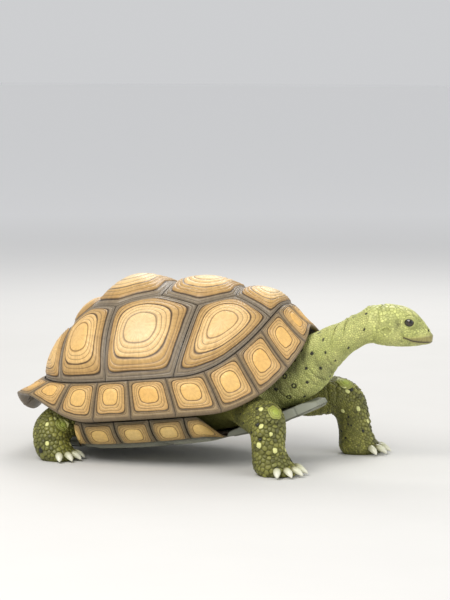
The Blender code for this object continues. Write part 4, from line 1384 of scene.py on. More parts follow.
# Markings, which the skin and its scales share: pale neck and head, dark olive legs, black specks.
PALE, PALE_DEEP, PALE_WARM = (np.array(linear(c)[:3]) for c in ("ccd081", "b4ba69", "dcd98f"))
DARK, DARK_DEEP, DARK_WARM = (np.array(linear(c)[:3]) for c in ("83833a", "5a5b2b", "9c984f"))
SPECK_AND_NOSTRIL_SHADE, YELLOW, ELBOW = (np.array(linear(c)[:3]) for c in ("1b1c10", "e4e597", "a7b44a"))
NECK_SPECKS = (
    # metres along the neck, degrees round it from the right side, radius
    (0.038, -13, 0.0022),
    (0.075, 26, 0.0019),
    (0.086, 39, 0.0018),
    (0.096, 17, 0.0021),
    (0.111, 28, 0.0016),
    (0.112, 0, 0.0016),
    (0.121, -33, 0.0016),
    (0.083, -4, 0.0017),
    (0.098, -24, 0.0021),
    (0.075, -31, 0.0018),
    (0.144, -24, 0.0018),
    (0.150, 52, 0.0017),
    (0.169, 36, 0.0018),
    (0.168, -4, 0.0017),
    (0.130, 75, 0.0017),
    (0.105, 62, 0.0018),
    (0.064, 70, 0.0019),
    (0.060, -62, 0.0018),
    (0.100, -70, 0.0017),
)
NECK_RINGLETS = ((0.056, 4, 0.0029), (0.060, -23, 0.0030), (0.046, -42, 0.0029))


def markings(points, shares):
    """Linear colour of the skin at each point."""
    patch = 0.5 + 0.5 * np.tanh(1.3 * field(points, 0.020, 41))
    fleck = 0.5 + 0.5 * np.tanh(1.6 * field(points, 0.0045, 42))
    pale = PALE_DEEP + (PALE - PALE_DEEP) * (0.45 + 0.55 * patch)[:, None]
    pale = pale + (PALE_WARM - pale) * (0.35 * fleck * patch)[:, None]
    dark = DARK_DEEP + (DARK - DARK_DEEP) * (0.35 + 0.65 * patch)[:, None]
    dark = dark + (DARK_WARM - dark) * (0.45 * fleck * patch)[:, None]
    light = np.clip(shares["neck"] + shares["head"], 0, 1)[:, None]
    return dark + (pale - dark) * light


def specked(points, colour, light):
    """Adds the black specks and open ringlets of the neck, the same on both sides, and paints the nostrils
    black as painted shade in their holes.
    """
    _, along, angle, _ = neck.locate(points)
    light = np.asarray(light, float)
    for open_ring, marks in ((False, NECK_SPECKS), (True, NECK_RINGLETS)):
        for place, turn, radius in marks:
            for mirrored in (turn, 180 - turn):
                across = (0.030 if open_ring else 0.028) * turn_from(angle, mirrored)
                away = np.hypot(along - place, across) / radius
                ring = smoothstep(0.36, 0.20, np.abs(away - 0.8))
                mark = (ring if open_ring else smoothstep(1.20, 0.85, away)) * light
                colour = colour + (SPECK_AND_NOSTRIL_SHADE - colour) * mark[:, None]
    # Painted shade: the holes of the nostrils are coloured black.
    hole = smoothstep(0.0022, 0.0013, np.linalg.norm(one_side(to_head(points)) - NOSTRIL, axis=1))
    return colour + (SPECK_AND_NOSTRIL_SHADE - colour) * hole[:, None]


skin_colour = specked(co, markings(co, shares), np.clip(shares["neck"] + shares["head"], 0, 1))
# Painted shade: the skin is darkened where its relief sinks into creases and folds.
deep = np.clip(-(relief + 0.0005) / 0.0012, 0, 1)
skin_colour = skin_colour * (1 - 0.60 * deep[:, None])
paint(skin_mesh, "markings_and_crease_shade", skin_colour)

hide = Shader("skin_hide", 0.62, Coat_Weight=0.04, Coat_Roughness=0.5)
hide_cells = {"Vector": hide.place(), "Scale": 900.0, "Randomness": 0.85}
hide_cells = hide.add("TexVoronoi", hide_cells, feature="DISTANCE_TO_EDGE")
hide_edge = hide.spread(hide_cells.outputs["Distance"], 0.0, 0.16)
hide_cloud = hide.noise(240.0, 5.0)
hide_tone = hide.stain(hide.attribute("markings_and_crease_shade", "Color"), "55552f", hide_edge, 0.0, 0.7, 0.55, 0.0)
hide_tone = hide.stain(hide_tone, "8c8a50", hide_cloud, 0.3, 0.75, 0.0, 0.35)
hide_gloss = hide.spread(hide_cloud, 0.3, 0.8, 0.50, 0.72)
hide.finish(hide_tone, hide.plus(hide_edge, hide_cloud, 0.8), 0.00035, 0.8, hide_gloss)
show(
    "skin", skin_mesh, hide.material, "dark_skin", "trunk", "neck", "head", "lower_jaw", *legs, "tail"
)

# ---------------------------------------------------------------- scales
# Horny scales are packed edge to edge over the skin: fine granules on the neck, flat shields on the
# head, and raised ones on the legs that point down the limb, the largest down the front.

skin_tree = tree_of(skin_mesh)
SCALE_GAP = 0.00022
CROWDING = 0.41  # share of two scales' sizes that has to lie between their middles
SETTLED, PUSH = 0.52, 0.32  # share of the sizes that they are pushed to, and of the way at each round
WIDEST, GRAZING = 0.72, 0.12  # longest reach in sizes, least cosine to a neighbour that limits it
SKIN_CURVE = 0.030  # radius of the skin that a scale bends down to
PATCH = 0.0015  # half the width of a scale's patch in its map
draw_scales = np.random.default_rng(77)


def sample_skin(wanted, count):
    """Random points, spread evenly over the faces of the skin that are wanted."""
    mesh = skin_mesh
    mesh.calc_loop_triangles()
    corners = np.empty(len(mesh.loop_triangles) * 3, np.int32)
    mesh.loop_triangles.foreach_get("vertices", corners)
    corners = corners.reshape(-1, 3)
    corners = corners[wanted[corners].all(axis=1)]
    a, b, c = (co[corners[:, k]] for k in range(3))
    areas = np.linalg.norm(np.cross(b - a, c - a), axis=1)
    picked = draw_scales.choice(len(corners), size=count, p=areas / areas.sum())
    u, v = draw_scales.random((2, count, 1))
    flip = u + v > 1
    u, v = np.where(flip, 1 - u, u), np.where(flip, 1 - v, v)
    return a[picked] * (1 - u - v) + b[picked] * u + c[picked] * v


def near_tree(places):
    tree = kdtree.KDTree(len(places))
    for index, place in enumerate(places):
        tree.insert(place, index)
    tree.balance()
    return tree


def neighbours(places, count):
    tree = near_tree(places)
    return np.array([[hit[1] for hit in tree.find_n(place, count + 1)][1:] for place in places])


def bake_map(mesh, uv):
    """The map of a coat's colours, from one place for each vertex."""
    corner = np.empty(len(mesh.loops), np.int32)
    mesh.loops.foreach_get("vertex_index", corner)
    mesh.uv_layers.new(name="OFBake").data.foreach_set("uv", uv[corner].ravel())


def onto_skin(points):
    hits = [skin_tree.find_nearest(point) for point in points]
    return np.array([hit[0] for hit in hits]), np.array([hit[1] for hit in hits])


def pack(places, sizes, first=0, rounds=3):
    """Thins points out until each has room for its size, then pushes all but the first ones apart."""
    tree = near_tree(places)
    alive, kept, widest = np.ones(len(places), bool), [], sizes.max()
    order = np.concatenate([np.arange(first), first + draw_scales.permutation(len(places) - first)])
    for index in order:
        if not alive[index]:
            continue
        kept.append(index)
        for _, other, gap in tree.find_range(places[index], CROWDING * (sizes[index] + widest)):
            if gap < CROWDING * (sizes[index] + sizes[other]):
                alive[other] = False
    places, sizes = places[kept], sizes[kept]
    for _ in range(rounds):
        near = neighbours(places, 7)
        gaps = places[:, None] - places[near]
        far = np.linalg.norm(gaps, axis=2)
        room = SETTLED * (sizes[:, None] + sizes[near])
        push = (gaps / far[..., None] * np.maximum(0.0, room - far)[..., None]).sum(axis=1) * PUSH
        push[:first] = 0.0
        places, _ = onto_skin(places + push)
    return places, sizes


def grow_scales(
    name,
    places,
    sizes,
    lies,  # the way that each scale points
    heights,
    colours,
    uv,
    points,  # on a scale's outline
    slot,
    keel=0.35,  # how far the tip is pushed along
    rings=((1.0, -0.30), (0.93, 0.45), (0.66, 0.90)),  # share of the outline, share of the height
    drape=False,  # each ring is laid on the skin
    ovals=0,  # how many of the first are rounded off
    speckled=False,  # the neck's specks are painted on
):
    """One joined piece of scales. Each fills its own share of the skin between it and its neighbours."""
    places, out = onto_skin(places)
    near = neighbours(places, 10)
    along = unit(lies - out * (lies * out).sum(axis=1, keepdims=True))
    across = np.cross(out, along)
    off = places[near] - places[:, None]
    a, b = (off * along[:, None]).sum(axis=2), (off * across[:, None]).sum(axis=2)
    gap, way = np.hypot(a, b), np.arctan2(b, a)
    share = sizes[:, None] / (sizes[:, None] + sizes[near])
    angle = circle(points) + math.pi / points
    facing = np.cos(angle[None, None] - way[..., None])
    limit = (gap * share - SCALE_GAP / 2)[..., None] / np.maximum(facing, GRAZING)
    reach = np.minimum(np.where(facing > GRAZING, limit, 1.0).min(axis=1), WIDEST * sizes[:, None])
    oval = 0.5 * sizes[:ovals, None] * np.hypot(1.25 * np.cos(angle), 0.80 * np.sin(angle))
    reach[:ovals] = np.minimum(reach[:ovals], oval)
    count = len(places)
    layers, rises = [], []
    for spread, rise in rings:
        slide = keel * sizes[:, None] * 0.5 * max(rise, 0.0)
        a = reach * np.cos(angle) * spread + slide * (1 - spread * 0.4)
        b = reach * np.sin(angle) * spread
        lean = 1 + keel * 0.8 * np.cos(angle) * (rise > 0.2)
        lift = (heights * rise)[:, None] * lean - (0.0 if drape else 0.5) * (a**2 + b**2) / SKIN_CURVE
        layer = places[:, None] + along[:, None] * a[..., None] + across[:, None] * b[..., None]
        if drape:
            layer = onto_skin(layer.reshape(-1, 3))[0].reshape(layer.shape)
        layer = layer + out[:, None] * lift[..., None]
        layer[..., 2] = np.maximum(layer[..., 2], 0.0002)
        layers.append(layer)
        rises.append(np.full(points, rise))
    tip = places + along * (keel * sizes * 0.5)[:, None] * 0.9 + out * heights[:, None]
    vertices = np.concatenate([*layers, tip[:, None]], axis=1)
    step = points * len(rings) + 1
    faces = [list(range(points))[::-1]]
    for row in range(len(rings) - 1):
        for k in range(points):
            m = (k + 1) % points
            low, high = row * points, (row + 1) * points
            faces.append([low + k, low + m, high + m, high + k])
    last = points * (len(rings) - 1)
    faces += [[last + k, last + (k + 1) % points, step - 1] for k in range(points)]
    every = [[corner + base for corner in face] for base in range(0, count * step, step) for face in faces]
    mesh = bpy.data.meshes.new(name)
    mesh.from_pydata(vertices.reshape(-1, 3).tolist(), [], every)
    colours = np.repeat(colours, step, axis=0)
    if speckled:
        colours = specked(vertices.reshape(-1, 3), colours, 1.0)
    paint(mesh, "markings_and_crease_shade", colours)
    store(mesh, "rise", np.tile(np.concatenate([*rises, [1.0]]), count))
    outline = np.stack([np.cos(angle), np.sin(angle)], -1)
    local = np.concatenate([outline * spread for spread, _ in rings] + [[[0, 0]]])
    bake_map(mesh, np.repeat(uv, step, axis=0) + np.tile(local * PATCH, (count, 1)))
    mesh.shade_smooth()
    show(name, mesh, horny.material, slot)


horny = Shader("scale_horn", 0.46, Coat_Weight=0.08, Coat_Roughness=0.4)
horny_base, horny_rise = horny.attribute("markings_and_crease_shade", "Color"), horny.attribute("rise")
horny_cloud = horny.noise(700.0, 5.0)
horny_tone = horny.stain(horny_base, "55552f", horny_rise, 0.70, -0.1, 0.0, 0.70)
horny_tone = horny.stain(horny_tone, "a39a66", horny_cloud, 0.3, 0.8, 0.0, 0.30)
horny_gloss = horny.spread(horny_cloud, 0.3, 0.8, 0.36, 0.58)
horny.finish(horny_tone, horny_cloud, 0.00016, 0.7, horny_gloss)


def limb_uv(limb, points):
    _, along, angle, _ = limb.locate(points)
    across, down = angle / (2 * math.pi) + 0.5, np.clip(along / limb.far[-1], 0, 1)
    return 0.02 + 0.96 * np.stack([across, down], -1)


def scale_colours(places, shares, spread):
    """The skin's markings at each scale's root, with a tone of its own for every scale, and painted shade
    where the root lies in a crease of the skin.
    """
    tone = 1 + spread * draw_scales.normal(size=(len(places), 1))
    # Painted shade: scales whose roots lie in a crease of the skin are darkened.
    deep = np.clip(-(skin_relief(places, shares) + 0.0005) / 0.0014, 0, 1)[:, None]
    return np.clip(markings(places, shares) * np.clip(tone, 0.55, 1.6) * (1 - 0.60 * deep), 0, 1)


# Neck: granules that lengthen towards the head.
wanted = (shares["neck"] > 0.3) & (shares["head"] < 0.5) & (relief > -0.003)
seeds = sample_skin(wanted, 26000)
neck_sizes = 0.0021 + 0.0005 * smoothstep(-0.5, 0.8, field(seeds, 0.03, 51))
seeds, neck_sizes = pack(seeds, neck_sizes)
near, _, _, _ = neck.locate(seeds)
neck_heights = np.full(len(seeds), NECK_COAT * 0.9)
neck_colours = scale_colours(seeds, limb_shares(seeds), 0.10)
grow_scales(
    "neck_scales", seeds, neck_sizes, -neck.runs[near], neck_heights, neck_colours,
    limb_uv(neck, seeds), 7, "pale_skin", keel=0.15, speckled=True,
)

# Legs: yellow scales among dark ones, and a large ringed shield on each elbow and knee.
LEG_YELLOW = {
    # metres along the leg, degrees round it, radius
    "foreleg": (
        (0.078, 26, 0.0036),
        (0.088, 12, 0.0040),
        (0.105, 3, 0.0042),
        (0.1115, 60, 0.0038),
        (0.096, 44, 0.0028),
        (0.084, 140, 0.0032),
        (0.100, 150, 0.0036),
        (0.114, 115, 0.0032),
        (0.096, 200, 0.0030),
    ),
    "hindleg": (
        (0.061, 36, 0.0030),
        (0.069, 28, 0.0030),
        (0.085, 31, 0.0033),
        (0.090, 124, 0.0032),
        (0.072, 150, 0.0030),
        (0.078, 200, 0.0030),
    ),
}
LEG_LENGTH = {"foreleg": 0.1477, "hindleg": 0.1109}  # of the legs that these places are given for
LEG_FRONT = 62  # degrees round a leg at which its scales are largest
JOINT_SHIELD = {
    # metres along the leg, degrees round it, radius
    "foreleg_right": (0.0815, 64, 0.0108),
    "foreleg_left": (0.1035, 66, 0.0108),
    "hindleg_right": (0.0585, 68, 0.0096),
    "hindleg_left": (0.0640, 112, 0.0096),
}
SHIELD_RINGS = (
    # share of the radius, height in metres, tone: dark olive outside, yellow green in the middle
    (1.00, -0.0006, 0.00),
    (0.985, 0.0006, 0.10),
    (0.93, 0.0011, 0.35),
    (0.75, 0.0013, 0.40),
    (0.71, 0.0009, 0.05),
    (0.69, 0.0012, 0.50),
    (0.62, 0.0016, 0.62),
    (0.46, 0.0018, 0.70),
    (0.42, 0.0013, 0.10),
    (0.39, 0.0017, 0.85),
    (0.30, 0.0022, 1.00),
    (0.12, 0.0024, 1.00),
)


def turned(degrees, name):
    """An angle round a right leg, or its mirror image on a left one."""
    return degrees if name.endswith("right") else 180 - degrees


def on_limb(limb, along, degrees):
    """Point of the skin at a distance along a limb and an angle round it."""
    index = np.searchsorted(limb.far, along)
    a = math.radians(degrees)
    wide = limb.widths[index] * (limb.sizes[index, 0] * math.cos(a))
    deep = limb.depths[index] * (limb.sizes[index, 1] * math.sin(a))
    return limb.centres[index] + (wide + deep)


def grow_shield(name, place, lie, radius, seed, uv):
    """The large scale of a joint: a stepped oval, rounded by the seasons it grew in."""
    draw = np.random.default_rng(seed)
    place, out = (found[0] for found in onto_skin(place[None]))
    along = unit(lie - out * lie.dot(out))
    across = np.cross(out, along)
    angle = circle(44)
    reach = radius * (1 + 0.05 * wobble(angle, 4, draw))
    rings, tones = [], []
    for share, height, tone in SHIELD_RINGS:
        shift = along * (radius * 0.10 * (1 - share))
        flat = np.cos(angle)[:, None] * along * 1.12 + np.sin(angle)[:, None] * across * 0.92
        layer, upright = onto_skin(place + shift + flat * (reach * share)[:, None])
        rings.append(layer + unit(upright + out * 0.5) * height)
        tones += [tone + 0.04 * draw.normal()] * len(angle)
    shield_bm = bmesh.new()
    sleeve(shield_bm, np.array(rings))
    mesh = mesh_from(shield_bm, name)
    points = np.array(rings).reshape(-1, 3)
    tree = near_tree(points)
    nearest = [tree.find(vertex.co)[1] for vertex in mesh.vertices]
    tone = np.clip(np.array(tones)[nearest], 0, 1)[:, None]
    colour = DARK_DEEP + (DARK_WARM - DARK_DEEP) * np.minimum(1, tone * 2.2)
    paint(mesh, "markings_and_crease_shade", colour + (ELBOW - DARK_WARM) * tone)
    store(mesh, "rise", 0.2 + 0.8 * np.minimum(1, tone[:, 0] * 2))
    local = (coordinates(mesh) - place) @ np.stack([along, across], -1) / radius
    bake_map(mesh, uv + local * PATCH)
    show(name, mesh, horny.material, "dark_skin")


for number, (name, limb) in enumerate(legs.items()):
    kind = name.split("_")[0]
    stretch = limb.far[-1] / LEG_LENGTH[kind]
    special = [
        on_limb(limb, along * stretch, turned(degrees, name)) for along, degrees, _ in LEG_YELLOW[kind]
    ]
    radii = [radius for _, _, radius in LEG_YELLOW[kind]]
    along, degrees, radius = JOINT_SHIELD[name]
    special.append(on_limb(limb, along, degrees))
    radii.append(radius)
    special = onto_skin(np.array(special))[0]
    wanted = (shares[name] > 0.35) & (co[:, 2] > 0.003)
    seeds = np.concatenate([special, sample_skin(wanted, 9000)])
    _, far, angle, _ = limb.locate(seeds)
    front = near_angle(angle, turned(LEG_FRONT, name), 115)
    low = smoothstep(0.35, 0.62, far / limb.far[-1])
    sizes = 0.0024 + 0.0030 * front * low + 0.0006 * field(seeds, 0.012, 52)
    sizes = np.clip(sizes, 0.0020, 0.0062)
    sizes[: len(radii)] = np.array(radii) * 2
    seeds, sizes = pack(seeds, sizes, len(radii))
    colours = scale_colours(seeds, limb_shares(seeds), 0.26)
    colours[len(radii) :][draw_scales.random(len(seeds) - len(radii)) < 0.02] = SPECK_AND_NOSTRIL_SHADE
    colours[: len(radii)] = YELLOW
    heights = np.clip(0.20 * sizes, 0.0004, 0.0011)
    elbow = len(radii) - 1
    heights[elbow] = 0.0002
    near, _, _, _ = limb.locate(seeds)
    lies, uv = limb.runs[near], limb_uv(limb, seeds)
    grow_scales(
        f"{name}_scales", seeds, sizes, lies, heights, colours, uv, 10, "dark_skin", ovals=elbow
    )
    grow_shield(f"{name}_shield", seeds[elbow], lies[elbow], radii[-1], 90 + number, uv[elbow])

# Tail: the same scales, smaller towards its tip.
seeds = sample_skin((shares["tail"] > 0.35) & (co[:, 2] > 0.003), 3000)
near, far, _, _ = tail.locate(seeds)
sizes = 0.0040 - 0.0016 * smoothstep(0.4, 1.0, far / tail.far[-1])
seeds, sizes = pack(seeds, sizes)
near, _, _, _ = tail.locate(seeds)
heights = np.clip(0.20 * sizes, 0.0004, 0.0008)
colours = scale_colours(seeds, limb_shares(seeds), 0.26)
uv = limb_uv(tail, seeds)
grow_scales("tail_scales", seeds, sizes, tail.runs[near], heights, colours, uv, 9, "dark_skin")

# Head: large shields on the crown, small ones on the cheeks and round the eyes.
CROWN_SHIELDS = (
    # distance from the nape, distance from the middle, radius: over the snout, the brow and the crown
    (0.0640, 0.0042, 0.0052),
    (0.0540, 0.0048, 0.0054),
    (0.0435, 0.0000, 0.0072),
    (0.0470, 0.0118, 0.0044),
    (0.0370, 0.0098, 0.0044),
    (0.0320, 0.0035, 0.0046),
    (0.0255, 0.0115, 0.0042),
    (0.0220, 0.0030, 0.0040),
)


def face_room(head_points):
    """How large a scale is on each part of the face, and 0 where there is none."""
    points = one_side(head_points)
    x, y, z = points.T
    size = 0.0024 + 0.0016 * smoothstep(0.008, 0.020, z) + 0.0006 * smoothstep(0.030, 0.012, x)
    eye = points - EYE_CENTRES[0]
    near_eye = np.hypot(eye[:, 0] / EYE_OPENING[0], eye[:, 2] / EYE_OPENING[1])
    size = np.where((y > 0.010) & (near_eye < 2.4), 0.0019, size)
    size = np.where((y > 0.010) & (near_eye < 1.42), 0.0, size)
    ear = np.hypot((x - EAR[0]) / EAR_LONG, (z - EAR[2]) / EAR_HIGH)
    size = np.where((ear < 1.0) & (y > 0.018), 0.0, size)
    on_beak = (x > 0.0475) & (z < height_on(BEAK_LINE, x)) & (z > height_on(CHIN_LINE, x))
    size = np.where(on_beak, 0.0, size)
    nostril_gap = np.linalg.norm(points - NOSTRIL, axis=1)
    size = np.where(nostril_gap < 0.0045, np.minimum(size, 0.0018), size)
    size = np.where(nostril_gap < 0.0023, 0.0, size)
    return np.where(x > 0.0745, 0.0, size)


crown = np.array([(x, y * side, 0.05) for x, y, _ in CROWN_SHIELDS for side in ((1, -1) if y else (1,))])
crown_sizes = np.array([2 * radius for _, y, radius in CROWN_SHIELDS for _ in range(2 if y else 1)])
down = Vector(from_head(np.array([0, 0, -1.0])) - NAPE)
crown = np.array([skin_tree.ray_cast(Vector(from_head(point)), down)[0] for point in crown])
seeds = np.concatenate([crown, sample_skin(shares["head"] > 0.45, 7000)])
sizes = face_room(to_head(seeds)) * (1 + 0.12 * field(seeds, 0.004, 61))
sizes[: len(crown)] = crown_sizes
seeds, sizes = seeds[sizes > 0], sizes[sizes > 0]
seeds, sizes = pack(seeds, sizes, len(crown), 4)
stays = face_room(to_head(seeds)) > 0
seeds, sizes = seeds[stays], sizes[stays]
head_at = to_head(seeds)
colours = scale_colours(seeds, limb_shares(seeds), 0.14)
colours[: len(crown)] = colours[: len(crown)] * 0.6 + PALE_WARM * 0.4
uv = np.stack([0.5 + np.arctan2(head_at[:, 1], head_at[:, 2] + 0.004) / 7.0, 0.1 + head_at[:, 0] * 10.0], -1)
lies, heights = np.tile(-FACE_WAY, (len(seeds), 1)), np.clip(0.12 * sizes, 0.00028, 0.00055)
grow_scales(
    "head_scales", seeds, sizes, lies, heights, colours, uv, 14, "pale_skin", keel=0.0,
    rings=((1.0, -0.5), (0.94, 0.60), (0.76, 0.95)), drape=True, speckled=True,
)

# ---------------------------------------------------------------- eyes and lids
# Glossy dark eyes with a thin paler rim to the iris, which look out to the side and a little forwards.
# They are set deep in two puckered folds of skin, one round the other.

EYE_WAY = unit(np.array([0.30, 0.94, 0.10]))
PUPIL, IRIS = 0.30, 0.56  # half angles seen from the middle of the eye, radians

eye_glass = Shader("eye", 0.05, Coat_Weight=1.0, Coat_Roughness=0.02, IOR=1.38)
gaze = eye_glass.attribute("gaze")
rays = eye_glass.noise(900.0, 4.0)
iris_tone = eye_glass.mix(rays, "22150a", "4a3216")
rim_tone = eye_glass.mix(eye_glass.spread(gaze, IRIS - 0.09, IRIS), iris_tone, "120d08")
eye_tone = eye_glass.mix(eye_glass.spread(gaze, PUPIL - 0.02, PUPIL + 0.02), "050404", rim_tone)
eye_tone = eye_glass.mix(eye_glass.spread(gaze, IRIS + 0.02, IRIS + 0.10), eye_tone, "2e2a18")
eye_glass.finish(eye_tone)

lid_hide = Shader("lid_skin", 0.50, Coat_Weight=0.12, Coat_Roughness=0.3)
lid_cloud = lid_hide.noise(900.0, 5.0)
lid_tone = lid_hide.mix(lid_cloud, "a0a65c", "c2c57c")
lid_tone = lid_hide.mix(lid_hide.attribute("margin"), lid_tone, "4d4f2b")
lid_hide.finish(lid_tone, lid_cloud, 0.00018, 0.8)


LID_FOLDS = (
    # half the length and height of the oval, height over the eyeball, half width, thickness, puckers, seed
    (0.0065, 0.0055, 0.0004, 0.00080, 0.00085, 26, 5),
    (0.0080, 0.0071, 0.0001, 0.0010, 0.0010, 32, 6),
)


def lid_rings(centre, side, wide, high, over, half_width, thickness, waves, seed):
    """Sections of one puckered fold of skin round the eye."""
    radius, draw = EYE_RADIUS + over, np.random.default_rng(seed)
    count, points = 96, 12
    turn = circle(count)
    pucker = 1 + 0.22 * np.sin(waves * turn + draw.uniform(0, 6)) * (0.3 + 0.7 * np.abs(np.sin(turn)))
    pucker = pucker + 0.06 * wobble(turn, 6, draw, 9)
    squint = np.where(np.sin(turn) > 0, 0.88, 1.0)
    around = circle(points)
    out = half_width * np.cos(around)[None] * pucker[:, None]
    rise = thickness * np.sin(around)[None] * pucker[:, None]
    x = np.cos(turn)[:, None] * (wide + out)
    z = np.sin(turn)[:, None] * (high * squint[:, None] + out)
    flat = np.stack([x, np.sqrt(np.maximum(radius**2 - x**2 - z**2, 1e-8)), z], -1)
    points_out = unit(flat) * (radius + rise)[..., None]
    return from_head(centre + points_out * np.array([1.0, side, 1.0]))


for place, centre in zip(("left", "right"), EYE_CENTRES):
    side = np.sign(centre[1])
    way = Vector(EYE_WAY * np.array([1.0, side, 1.0]))
    eye_bm = bmesh.new()
    bmesh.ops.create_uvsphere(eye_bm, u_segments=48, v_segments=40, radius=EYE_RADIUS)
    turn = Vector((0, 0, 1)).rotation_difference(way).to_matrix()
    gazes = []
    for vert in eye_bm.verts:
        angle = vert.co.angle(Vector((0, 0, 1)))
        gazes.append(angle)
        vert.co = turn @ (vert.co * (1 + 0.045 * float(smoothstep(0.56, 0.25, angle))))
        vert.co = from_head(centre + np.array(vert.co))
    eye_mesh = bpy.data.meshes.new(f"eyeball_{place}")
    eye_bm.to_mesh(eye_mesh)
    eye_bm.free()
    eye_mesh.shade_smooth()
    store(eye_mesh, "gaze", gazes)
    show(f"eyeball_{place}", eye_mesh, eye_glass.material, "eye", f"eye_{place}")
    lid_bm = bmesh.new()
    for fold in LID_FOLDS:
        sleeve(lid_bm, lid_rings(centre, side, *fold), ends_meet=True)
    lid_mesh = mesh_from(lid_bm, f"eyelids_{place}")
    off = to_head(coordinates(lid_mesh)) - centre
    opening = np.hypot(off[:, 0] / EYE_OPENING[0], off[:, 2] / EYE_OPENING[1])
    store(lid_mesh, "margin", 0.9 * smoothstep(1.02, 0.90, opening))
    show(f"eyelids_{place}", lid_mesh, lid_hide.material, "pale_skin")

# ---------------------------------------------------------------- beak
# A sheath of horn on each jaw instead of teeth. The upper one overlaps the lower and is hooked a
# little at its tip.

BEAK_HEART = 0.046  # distance from the nape of the axis that the beak is drawn round
BEAK_ROWS, BEAK_SPREAD = 13, math.radians(94)


def head_reach(angle, z):
    """Distance from the beak's axis to the side of the head, at an angle from the front and a height."""
    rows = catmull_rom(HEAD_SECTIONS, 200)
    low, high = np.zeros_like(angle), np.full_like(angle, 0.05)
    for _ in range(40):
        middle = (low + high) / 2
        x, y = BEAK_HEART + middle * np.cos(angle), middle * np.sin(angle)
        width, crown_z, throat_z = (np.interp(x, rows[:, 0], rows[:, k]) for k in (1, 2, 3))
        centre, half = (crown_z + throat_z) / 2, (crown_z - throat_z) / 2
        out = np.abs(y / width) ** HEAD_SQUARENESS + np.abs((z - centre) / half) ** HEAD_SQUARENESS
        inside = (out < 1) & (x < HEAD_SECTIONS[-1][0])
        low, high = np.where(inside, middle, low), np.where(inside, high, middle)
    return low


def beak_rings(top, bottom, proud, hook, spread, buried, count=96):
    """Sections of a sheath from one corner of the mouth round the snout to the other."""
    angles = np.linspace(-spread, spread, count)
    rows = []
    for share in np.linspace(0, 1, BEAK_ROWS):
        x = BEAK_HEART + 0.030 * np.cos(angles)
        for _ in range(4):
            high = height_on(top, x)
            low = height_on(bottom, x) - hook * bell(angles, 0.20)
            z = high + (low - high) * share
            reach = head_reach(angles, z)
            x = BEAK_HEART + reach * np.cos(angles)
        edge = proud * (1 - 0.75 * (2 * abs(share - 0.5)) ** 4)
        edge = edge * smoothstep(1.0, 0.85, np.abs(angles) / spread)
        edge = edge + 0.0003 * bell(angles, 0.10)
        edge = edge - 0.0011 * smoothstep(0.30, 0.0, abs(share - buried))
        edge = edge + 0.00010 * np.sin(angles * 41 + 3 * np.sin(angles * 7)) * (0.3 + 0.7 * share)
        rows.append((reach + edge, z))
    for share, deep in ((1.0, 0.0016), (0.5, 0.0040), (0.0, 0.0016)):
        reach, z = rows[int(share * (BEAK_ROWS - 1))]
        rows.append((reach - deep, z + (0.0003 if share == 1.0 else 0.0)))
    rings = []
    for reach, z in rows:
        rings.append(np.stack([BEAK_HEART + reach * np.cos(angles), reach * np.sin(angles), z], -1))
    return from_head(np.array(rings).transpose(1, 0, 2))


beak_horn = Shader("beak_horn", 0.34, Coat_Weight=0.20, Coat_Roughness=0.25)
beak_cloud = beak_horn.noise(160.0, 5.0)
beak_lines = beak_horn.noise(520.0, 3.0, stretch=(1.0, 1.0, 0.12))
beak_tone = beak_horn.mix(beak_cloud, "857c46", "aea565")
beak_tone = beak_horn.mix(beak_horn.attribute("root"), beak_tone, "b3b468")
beak_spots = beak_horn.spread(beak_horn.noise(70.0, 3.0), 0.52, 0.70, 0.0, 0.35)
beak_tone = beak_horn.mix(beak_spots, beak_tone, "6a5c30")
# Painted shade: both sheaths darken along the line where the jaws meet, for the shadow in the gap between
# them.
beak_mouth_shade = beak_horn.spread(beak_horn.attribute("rim"), 0.0, 1.0, 0.0, 0.9)
beak_tone = beak_horn.mix(beak_mouth_shade, beak_tone, "3a311d")
beak_tone = beak_horn.stain(beak_tone, "6d5f34", beak_lines, 0.45, 0.75, 0.0, 0.55)
beak_horn.finish(beak_tone, beak_lines, 0.00025, 0.6)
UPPER_EDGE = ((0.095, -0.0120), (0.074, -0.0120), (0.066, -0.0124), (0.056, -0.0121), (0.046, -0.0088))
for name, top, bottom, proud, hook, buried in (
    ("beak_upper", BEAK_LINE, UPPER_EDGE, 0.00070, 0.0024, 0.0),
    ("beak_lower", MOUTH[:-1], CHIN_LINE, 0.00025, 0.0, 1.0),
):
    beak_bm = bmesh.new()
    sleeve(beak_bm, beak_rings(top, bottom, proud, hook, BEAK_SPREAD, buried))
    beak_mesh = mesh_from(beak_bm, f"{name}_sheath")
    at = to_head(coordinates(beak_mesh))
    gape = height_on(UPPER_EDGE, at[:, 0])
    start = height_on(BEAK_LINE if name == "beak_upper" else CHIN_LINE, at[:, 0])
    store(beak_mesh, "root", smoothstep(0.0040, 0.0005, np.abs(at[:, 2] - start)))
    # Near the line where the jaws meet, which carries the painted shade of the mouth.
    drop = 0.0004 if name == "beak_lower" else 0.0
    store(beak_mesh, "rim", smoothstep(0.0011, 0.0004, np.abs(at[:, 2] - gape + drop)))
    show(f"{name}_sheath", beak_mesh, beak_horn.material, "beak", name)

# ---------------------------------------------------------------- claws
# Blunt curved claws of pale horn, ridged along their length and stained at the root: five on each
# forefoot and four on each hindfoot.

CLAW_RADIUS = 0.0050
CLAW_PROFILE = ((0.0, 0.70), (0.35, 0.97), (0.65, 0.86), (0.88, 0.50), (1.0, 0.14))
CLAW_DROP, CLAW_CURVE = 0.0070, 2.2  # how far the tip hangs, and the power of the curve to it
CLAW_TURN = math.radians(-50)

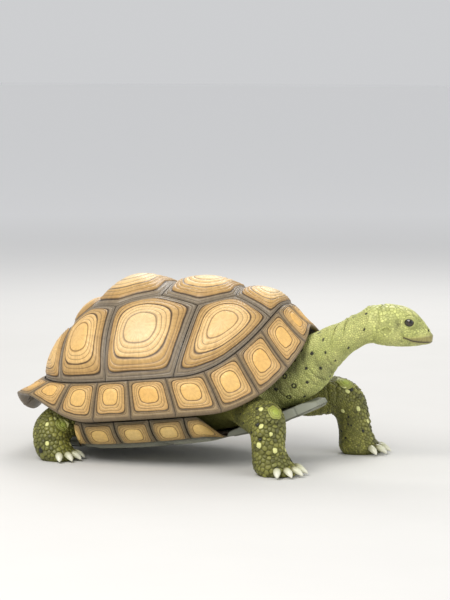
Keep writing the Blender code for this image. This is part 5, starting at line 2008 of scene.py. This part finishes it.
claw_horn = Shader("claw_horn", 0.32, Coat_Weight=0.25, Coat_Roughness=0.2)
claw_far = claw_horn.attribute("length_share")
claw_cloud = claw_horn.noise(300.0, 5.0)
claw_tone = claw_horn.ramp(
    claw_horn.plus(claw_far, claw_cloud, 0.15),
    ((0.30, "6e6a48"), (0.50, "b9b894"), (0.75, "d8d8bc"), (1.0, "e6e4d0")),
)
claw_ridge = claw_horn.math("SINE", claw_horn.math("MULTIPLY", claw_horn.attribute("round_share"), 88.0))
claw_tone = claw_horn.stain(claw_tone, "7a704c", claw_ridge, -0.4, -1.0, 0.0, 0.14)
claw_horn.finish(claw_tone, claw_horn.plus(claw_cloud, claw_ridge, 0.25), 0.00012, 0.6)


def claw_rings(root, aim, length, sides=22, count=22):
    beside, up, rings = aim.cross(Vector((0, 0, 1))), Vector((0, 0, 1)), []
    for share in np.linspace(0, 1, count):
        thickness = float(np.interp(share, *zip(*CLAW_PROFILE)))
        centre = root + aim * (length * share) - up * (CLAW_DROP * share**CLAW_CURVE)
        radius = CLAW_RADIUS * thickness * (1 - 0.6 * max(0.0, share - 0.93) / 0.07)
        tilt = CLAW_TURN * share**1.2
        over = up * math.cos(tilt) - aim * math.sin(tilt)
        ring = []
        for k in range(sides):
            angle = 2 * math.pi * k / sides
            flat = 0.72 if math.sin(angle) < 0 else 0.92
            high = over * (radius * flat * math.sin(angle))
            ring.append(centre + beside * (radius * math.cos(angle)) + high)
        rings.append([tuple(point) for point in ring])
    return np.array(rings)


for name, (_, _, _, length) in LEG_STATIONS.items():
    for number, (root, aim) in enumerate(claw_roots(name), 1):
        rings = claw_rings(root, aim, length)
        rings[..., 2] = np.maximum(rings[..., 2], 0.0003)
        claw_bm = bmesh.new()
        sleeve(claw_bm, rings)
        claw_mesh = mesh_from(claw_bm, f"claw_horn_{name}_{number}")
        off = coordinates(claw_mesh) - np.array(root)
        gone = np.clip(off @ np.array(aim) / length, 0, 1)
        off[:, 2] += CLAW_DROP * gone**CLAW_CURVE
        store(claw_mesh, "length_share", gone)
        beside = np.array(aim.cross(Vector((0, 0, 1))))
        store(claw_mesh, "round_share", np.arctan2(off[:, 2], off @ beside) / math.pi)
        claw = f"claw_{name}_{number}"
        show(f"claw_horn_{name}_{number}", claw_mesh, claw_horn.material, "claw", claw)
